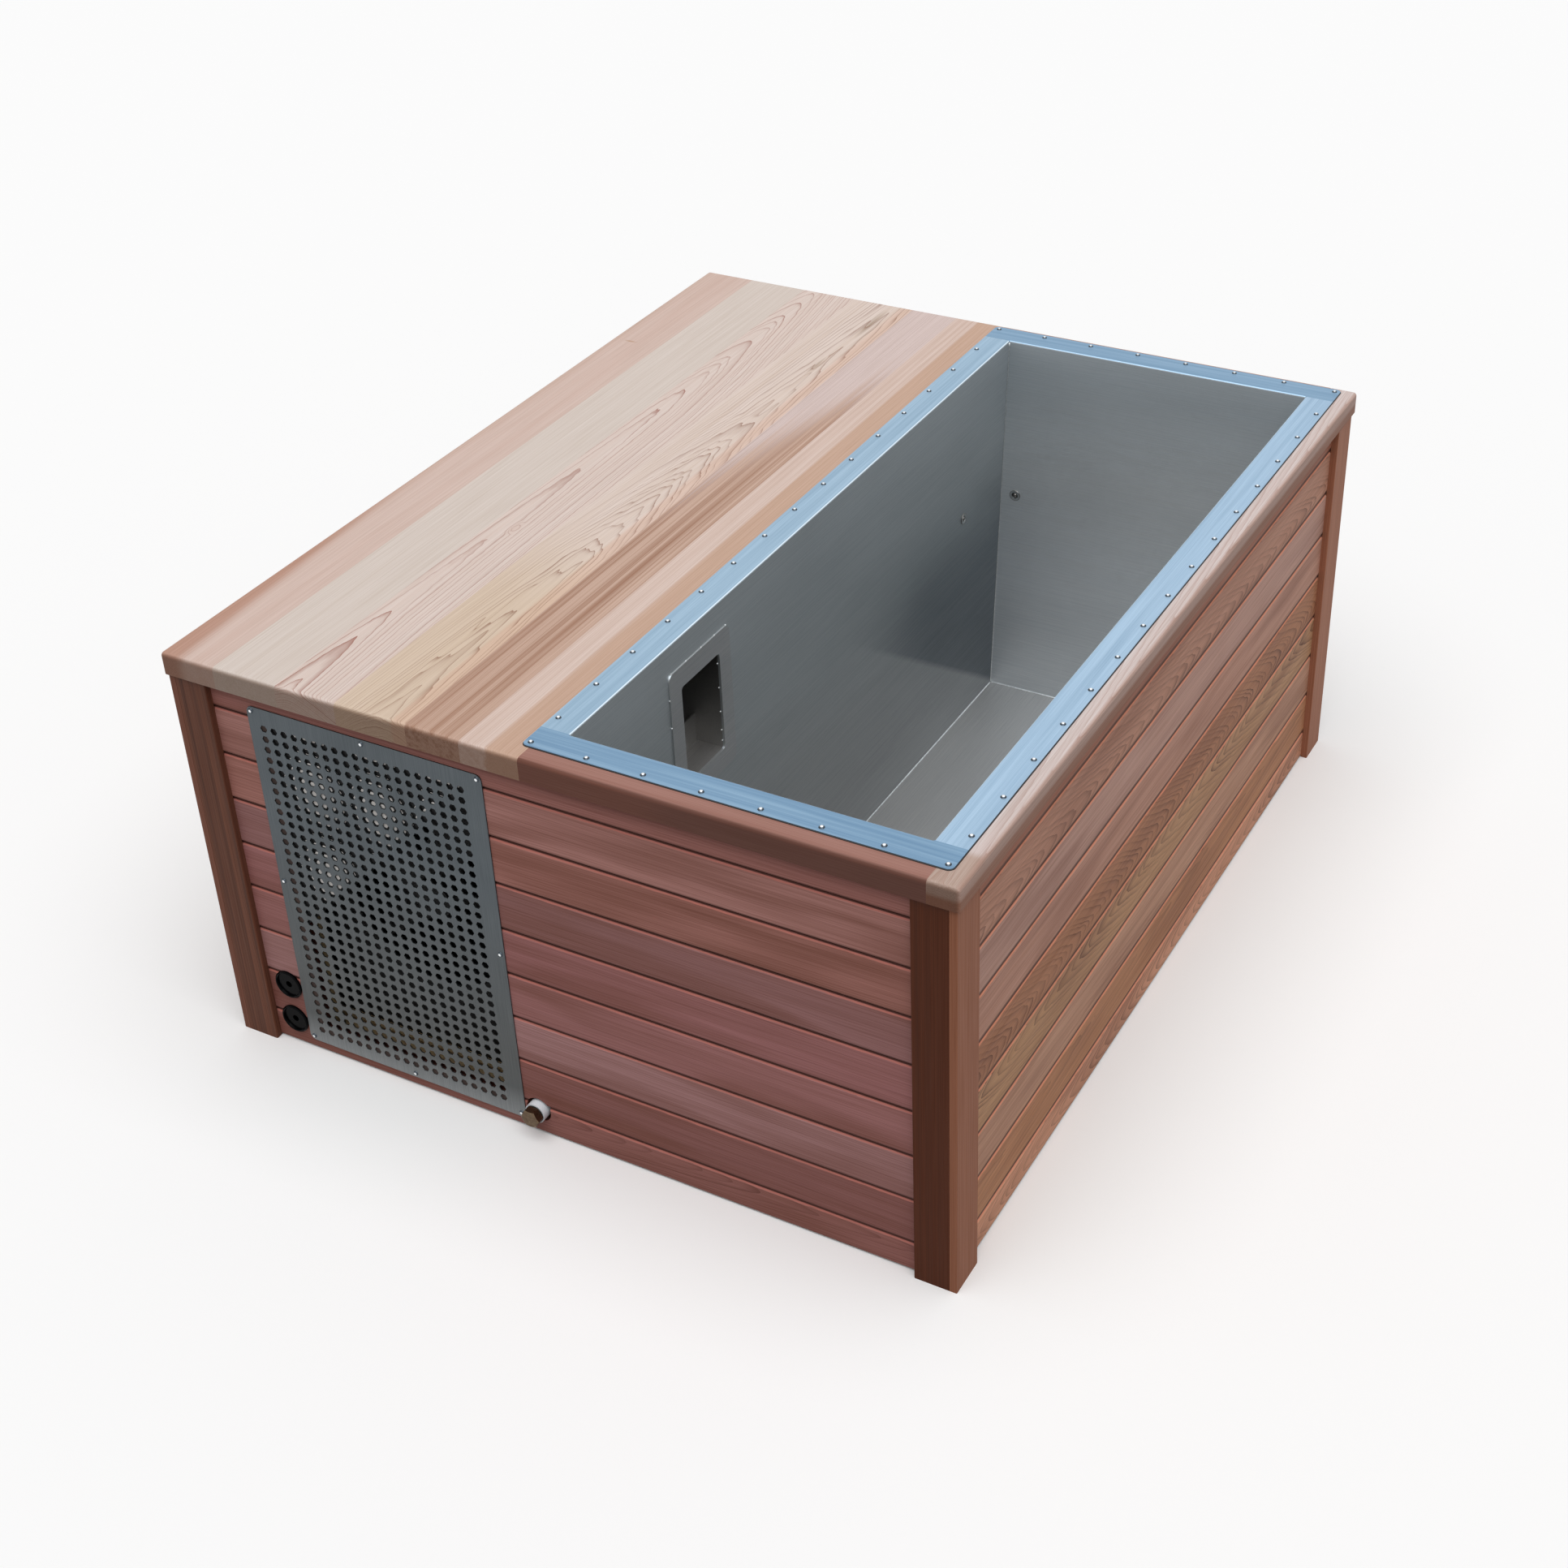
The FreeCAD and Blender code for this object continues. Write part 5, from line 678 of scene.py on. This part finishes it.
for where, axis in (("rim", "Z"), ("grille", "Y")):
    tree, shader = material(f"stainless steel, tumbled, {where}")
    place = add(tree, "TexCoord", {})
    facing = add(tree, "SeparateXYZ", {0: place.outputs["Normal"]})
    # painted highlight: faces turned to the screw's axis are painted bright, the rest painted dark as shade
    crown_highlight = add(tree, "Math", {0: facing.outputs[axis]}, operation="ABSOLUTE")
    tone = add(tree, "ValToRGB", {0: crown_highlight}, stops=[(0.84, "#434a51"), (0.95, "#f4f7f9")])
    cloud = add(tree, "TexNoise", {"Vector": place.outputs["Object"], "Scale": 1 / 0.003, "Detail": 2.0})
    rough = add(tree, "MapRange", {0: cloud, 1: 0.3, 2: 0.7, 3: 0.3, 4: 0.18})
    tree.links.new(tone.outputs[0], shader.inputs["Base Color"])
    tree.links.new(rough.outputs[0], shader.inputs["Roughness"])
    shader.inputs["Metallic"].default_value = 1.0
    paint(tree, f"{where}_screws")


# Grille: a laser-cut plate with a square grid of hexagonal holes, screwed over the opening.
# Stainless steel, fine-ground upright; its grey is painted shade, as it faces the shade, with painted
# reflected light, warmer below and lighter at its foot.

# heights over the ground between which the plate's painted reflected light turns warmer and then, at its
# foot, lighter
PAINTED_WARM_FROM, PAINTED_WARM_FULL, PAINTED_LIGHT_FROM, PAINTED_LIGHT_FULL = 0.48, 0.14, 0.080, 0.025
tree, shader = material("stainless steel, fine-ground plate")
place = add(tree, "TexCoord", {})
axes = add(tree, "SeparateXYZ", {0: place.outputs["Object"]})
# grinding lines 0.2 mm wide, drawn at 1 mm
lines = add(tree, "VectorMath", {0: place.outputs["Object"], 1: (1 / 0.001, 1 / 0.001, 1 / 0.09)},
            operation="MULTIPLY")
lines = add(tree, "TexNoise", {"Vector": lines, "Scale": 1.0, "Detail": 2.0})
cloud = add(tree, "TexNoise", {"Vector": place.outputs["Object"], "Scale": 1 / 0.12, "Detail": 3.0})
tone = add(tree, "ValToRGB", {0: cloud}, stops=[(0.3, "#565c60"), (0.7, "#5e6468")])
painted_warm_reflection = add(tree, "MapRange", {0: axes.outputs["Z"], 1: PAINTED_WARM_FROM, 2: PAINTED_WARM_FULL, 3: 0.0, 4: 0.8})
tone = add(tree, "Mix", {0: painted_warm_reflection, 6: tone, 7: linear("#5f605f")}, data_type="RGBA")
painted_foot_light = add(tree, "MapRange", {0: axes.outputs["Z"], 1: PAINTED_LIGHT_FROM, 2: PAINTED_LIGHT_FULL, 3: 0.0, 4: 0.8})
tone = add(tree, "Mix", {0: painted_foot_light, 6: tone, 7: linear("#919495")}, data_type="RGBA")
ground = add(tree, "ValToRGB", {0: lines}, stops=[(0.3, "#e2e4e5"), (0.65, "#ffffff")])
tone = add(tree, "Mix", {0: 1.0, 6: tone, 7: ground}, data_type="RGBA", blend_type="MULTIPLY")
relief = add(tree, "Bump", {"Height": lines, "Strength": 0.05, "Distance": 0.0001})
tree.links.new(tone.outputs[2], shader.inputs["Base Color"])
tree.links.new(relief.outputs[0], shader.inputs["Normal"])
shader.inputs["Metallic"].default_value = 1.0
shader.inputs["Roughness"].default_value = 0.45
paint(tree, "grille")


# Grille shade tape: a flat dark tape under the plate's border, between the plate and the cladding.
# It is painted shade, dark brown, for the shade on the wood behind the outermost holes, where alone it shows.

SHADE_TAPE_FRONT, SHADE_TAPE_BACK = -0.8003, -0.8001
shade_tape = bmesh.new()
plate_left, plate_right, plate_foot, plate_top = -0.529, -0.099, 0.0225, 0.6795
hole_left, hole_right, hole_foot, hole_top = -0.494, -0.110, 0.057, 0.659
for x0, x1, z0, z1 in ((plate_left, hole_left, plate_foot, plate_top),
                       (hole_right, plate_right, plate_foot, plate_top),
                       (hole_left, hole_right, plate_foot, hole_foot),
                       (hole_left, hole_right, hole_top, plate_top)):
    strip = bmesh.ops.create_cube(shade_tape, size=1.0)["verts"]
    middle = ((x0 + x1) / 2, (SHADE_TAPE_FRONT + SHADE_TAPE_BACK) / 2, (z0 + z1) / 2)
    bmesh.ops.scale(shade_tape, verts=strip, vec=(x1 - x0, SHADE_TAPE_BACK - SHADE_TAPE_FRONT, z1 - z0))
    bmesh.ops.translate(shade_tape, verts=strip, vec=middle)
shade_tape_finish = coated("rubber foam tape, dark brown", "#33221b", "#2a1b15", 0.8, 1.5)
piece("grille_shade_tape", shade_tape, shade_tape_finish, "cabinet", smooth=False)


# Light spots: a black three-cornered backing behind the grille, in the opening's upper left corner, with
# hexagonal off-white spots.
# The spots are painted light, for the light falling through the holes onto what lies behind; they show
# through the holes.

MAT_FRONT, MAT_BACK, SPOT_RISE, SPOT_RADIUS, HEX = -0.7975, -0.7945, 0.0015, 0.0050, 6
mat_foot, mat_tip = 0.270, -0.112
spot_backing = bmesh.new()
outline = ((hole_left, hole_top), (hole_left, mat_foot), (mat_tip, hole_top))
front_ring, back_ring = ([spot_backing.verts.new((x, y, z)) for x, z in outline] for y in (MAT_FRONT, MAT_BACK))
spot_backing.faces.new(front_ring)
spot_backing.faces.new(back_ring[::-1])
for i in range(len(outline)):
    after = (i + 1) % len(outline)
    spot_backing.faces.new((front_ring[i], back_ring[i], back_ring[after], front_ring[after]))
bmesh.ops.recalc_face_normals(spot_backing, faces=spot_backing.faces)
spot_backing_finish = coated("polyester net, black", "#0c0c0d", "#080809", 0.8, 1.5)
piece("light_spot_backing", spot_backing, spot_backing_finish, "cabinet", smooth=False)

# a lattice a little closer than the grille's holes, so that the painted light spots and holes drift in and
# out of line
light_spots = bmesh.new()
first_x, first_z, pitch_x, pitch_z = -0.4280, 0.5470, 0.01665, 0.01720
spot_rims = ((SPOT_RADIUS, MAT_FRONT), (SPOT_RADIUS, MAT_FRONT - 0.6 * SPOT_RISE),
                (0.75 * SPOT_RADIUS, MAT_FRONT - SPOT_RISE))
lean = (hole_top - mat_foot) / (mat_tip - hole_left)
columns, rows = range(-5, 20), range(-17, 8)
for i in columns:
    for j in rows:
        x, z = first_x + pitch_x * i, first_z + pitch_z * j
        inside = x > hole_left + SPOT_RADIUS and z < hole_top - SPOT_RADIUS
        if not inside or z < mat_foot + lean * (x - hole_left) + 1.6 * SPOT_RADIUS:
            continue
        rims = [[light_spots.verts.new((x + size * math.cos(a), y, z + size * math.sin(a)))
                 for a in (math.tau * k / HEX for k in range(HEX))] for size, y in spot_rims]
        for low, high in zip(rims, rims[1:]):
            for k in range(HEX):
                after = (k + 1) % HEX
                light_spots.faces.new((low[k], low[after], high[after], high[k]))
        light_spots.faces.new(rims[-1])
        light_spots.faces.new(rims[0][::-1])
bmesh.ops.recalc_face_normals(light_spots, faces=light_spots.faces)
tree, shader = material("polyester fleece, quilted")
place = add(tree, "TexCoord", {})
tuft = add(tree, "TexNoise", {"Vector": place.outputs["Object"], "Scale": 1 / 0.002, "Detail": 4.0})
tone = add(tree, "ValToRGB", {0: tuft}, stops=[(0.3, "#ece6e0"), (0.7, "#f8f4f0")])
tree.links.new(tone.outputs[0], shader.inputs["Base Color"])
shader.inputs["Roughness"].default_value = 0.95
shader.inputs["Sheen Weight"].default_value = 0.3
piece("painted_light_spots", light_spots, tree, "cabinet", smooth=False)


# Grommets: two bushings in the cladding for a cable or a hose, each pushed in from the front.
# EPDM rubber, moulded glossy black, with a rolled rim and a soft membrane round the hole.

rubber = coated("EPDM rubber, moulded black", "#040506", "#030304", 0.18, 5.0)
rubber.nodes["Principled BSDF"].inputs["Specular IOR Level"].default_value = 0.05
paint(rubber, "upper_grommet", "lower_grommet")


# Drain: the end of a pipe through the cladding, closed by a hexagonal plug on a flat seal.
# White PVC pipe; plug in nickel-bronze, turned and tarnished brown; seal in black nitrile rubber.

paint(coated("PVC drain pipe, white", "#e8eef4", "#dbe3ea", 0.3, 5.0), "drain_pipe")
paint(coated("nitrile rubber, flat seal", "#1a1a1b", "#121213", 0.6, 1.0), "drain_seal")
tree, shader = material("nickel bronze, tarnished")
place = add(tree, "TexCoord", {})
stain = add(tree, "TexNoise", {"Vector": place.outputs["Object"], "Scale": 1 / 0.006, "Detail": 5.0})
tone = add(tree, "ValToRGB", {0: stain}, stops=[(0.3, "#5c4a3c"), (0.7, "#75644f")])
rough = add(tree, "MapRange", {0: stain, 1: 0.3, 2: 0.7, 3: 0.42, 4: 0.26})
tree.links.new(tone.outputs[0], shader.inputs["Base Color"])
tree.links.new(rough.outputs[0], shader.inputs["Roughness"])
shader.inputs["Metallic"].default_value = 1.0
paint(tree, "drain_plug")


# Studio: a pale floor without an edge in view, a white room, and one broad soft light from above.
# White paper, matt; it and the room look white in view and in the steel, and light the tub less than that.

tree, shader = material("studio floor, white paper")
light_path = add(tree, "LightPath", {})
seen = add(tree, "Math", {0: light_path.outputs["Is Camera Ray"], 1: light_path.outputs["Is Glossy Ray"]},
           operation="MAXIMUM")
dull = add(tree, "BsdfDiffuse", {"Color": linear("#868584")})
bright = add(tree, "BsdfDiffuse", {"Color": linear("#fdfdfd")})
both = add(tree, "MixShader", {0: seen, 1: dull, 2: bright})
tree.links.new(both.outputs[0], tree.nodes["Material Output"].inputs["Surface"])
PAPER_HALF = 40.0
paper = bmesh.new()
bmesh.ops.create_grid(paper, x_segments=1, y_segments=1, size=PAPER_HALF)
data = bpy.data.meshes.new("studio_floor")
paper.to_mesh(data)
paper.free()
data.materials.append(next(m for m in bpy.data.materials if m.node_tree == tree))
studio_floor = bpy.data.objects.new("studio_floor", data)
bpy.context.scene.collection.objects.link(studio_floor)

room = bpy.data.worlds.new("white room")
room.use_nodes = True
bpy.context.scene.world = room
tree = room.node_tree
light_path = add(tree, "LightPath", {})
seen = add(tree, "Math", {0: light_path.outputs["Is Camera Ray"], 1: light_path.outputs["Is Glossy Ray"]},
           operation="MAXIMUM")
level = add(tree, "MapRange", {0: seen, 3: 0.27, 4: 1.0})
tree.links.new(level.outputs[0], tree.nodes["Background"].inputs["Strength"])
tree.nodes["Background"].inputs["Color"].default_value = (1.0, 1.0, 1.0, 1.0)

lamp = bpy.data.lights.new("soft_top", "SUN")
lamp.energy = 2.35
lamp.angle = math.radians(70)
soft_top = bpy.data.objects.new("soft_top", lamp)
soft_top.rotation_euler = (math.radians(14), math.radians(10), 0.0)
bpy.context.scene.collection.objects.link(soft_top)


# Camera: above the front right corner, at the photograph's angle.
# Its lens is shifted a little, because the tub isn't in the middle of the frame.

lens = bpy.data.cameras.new("camera")
lens.sensor_width = 36.0
lens.lens = 53.98
lens.shift_x = -0.0228
lens.shift_y = -0.0238
camera = bpy.data.objects.new("camera", lens)
# its place and its axes, fitted to the photograph's straight edges
stand = Vector((1.7198, -2.9880, 2.58365))
right, down = Vector((0.87763, 0.4783, -0.03144)), Vector((0.24324, -0.50093, -0.8306))
forward = Vector((-0.41302, 0.72132, -0.55598))
turn = Matrix((right, -down, -forward)).transposed()
camera.matrix_world = Matrix.Translation(stand) @ turn.to_4x4()
bpy.context.scene.collection.objects.link(camera)
bpy.context.scene.camera = camera
bpy.context.scene.view_settings.view_transform = "Standard"
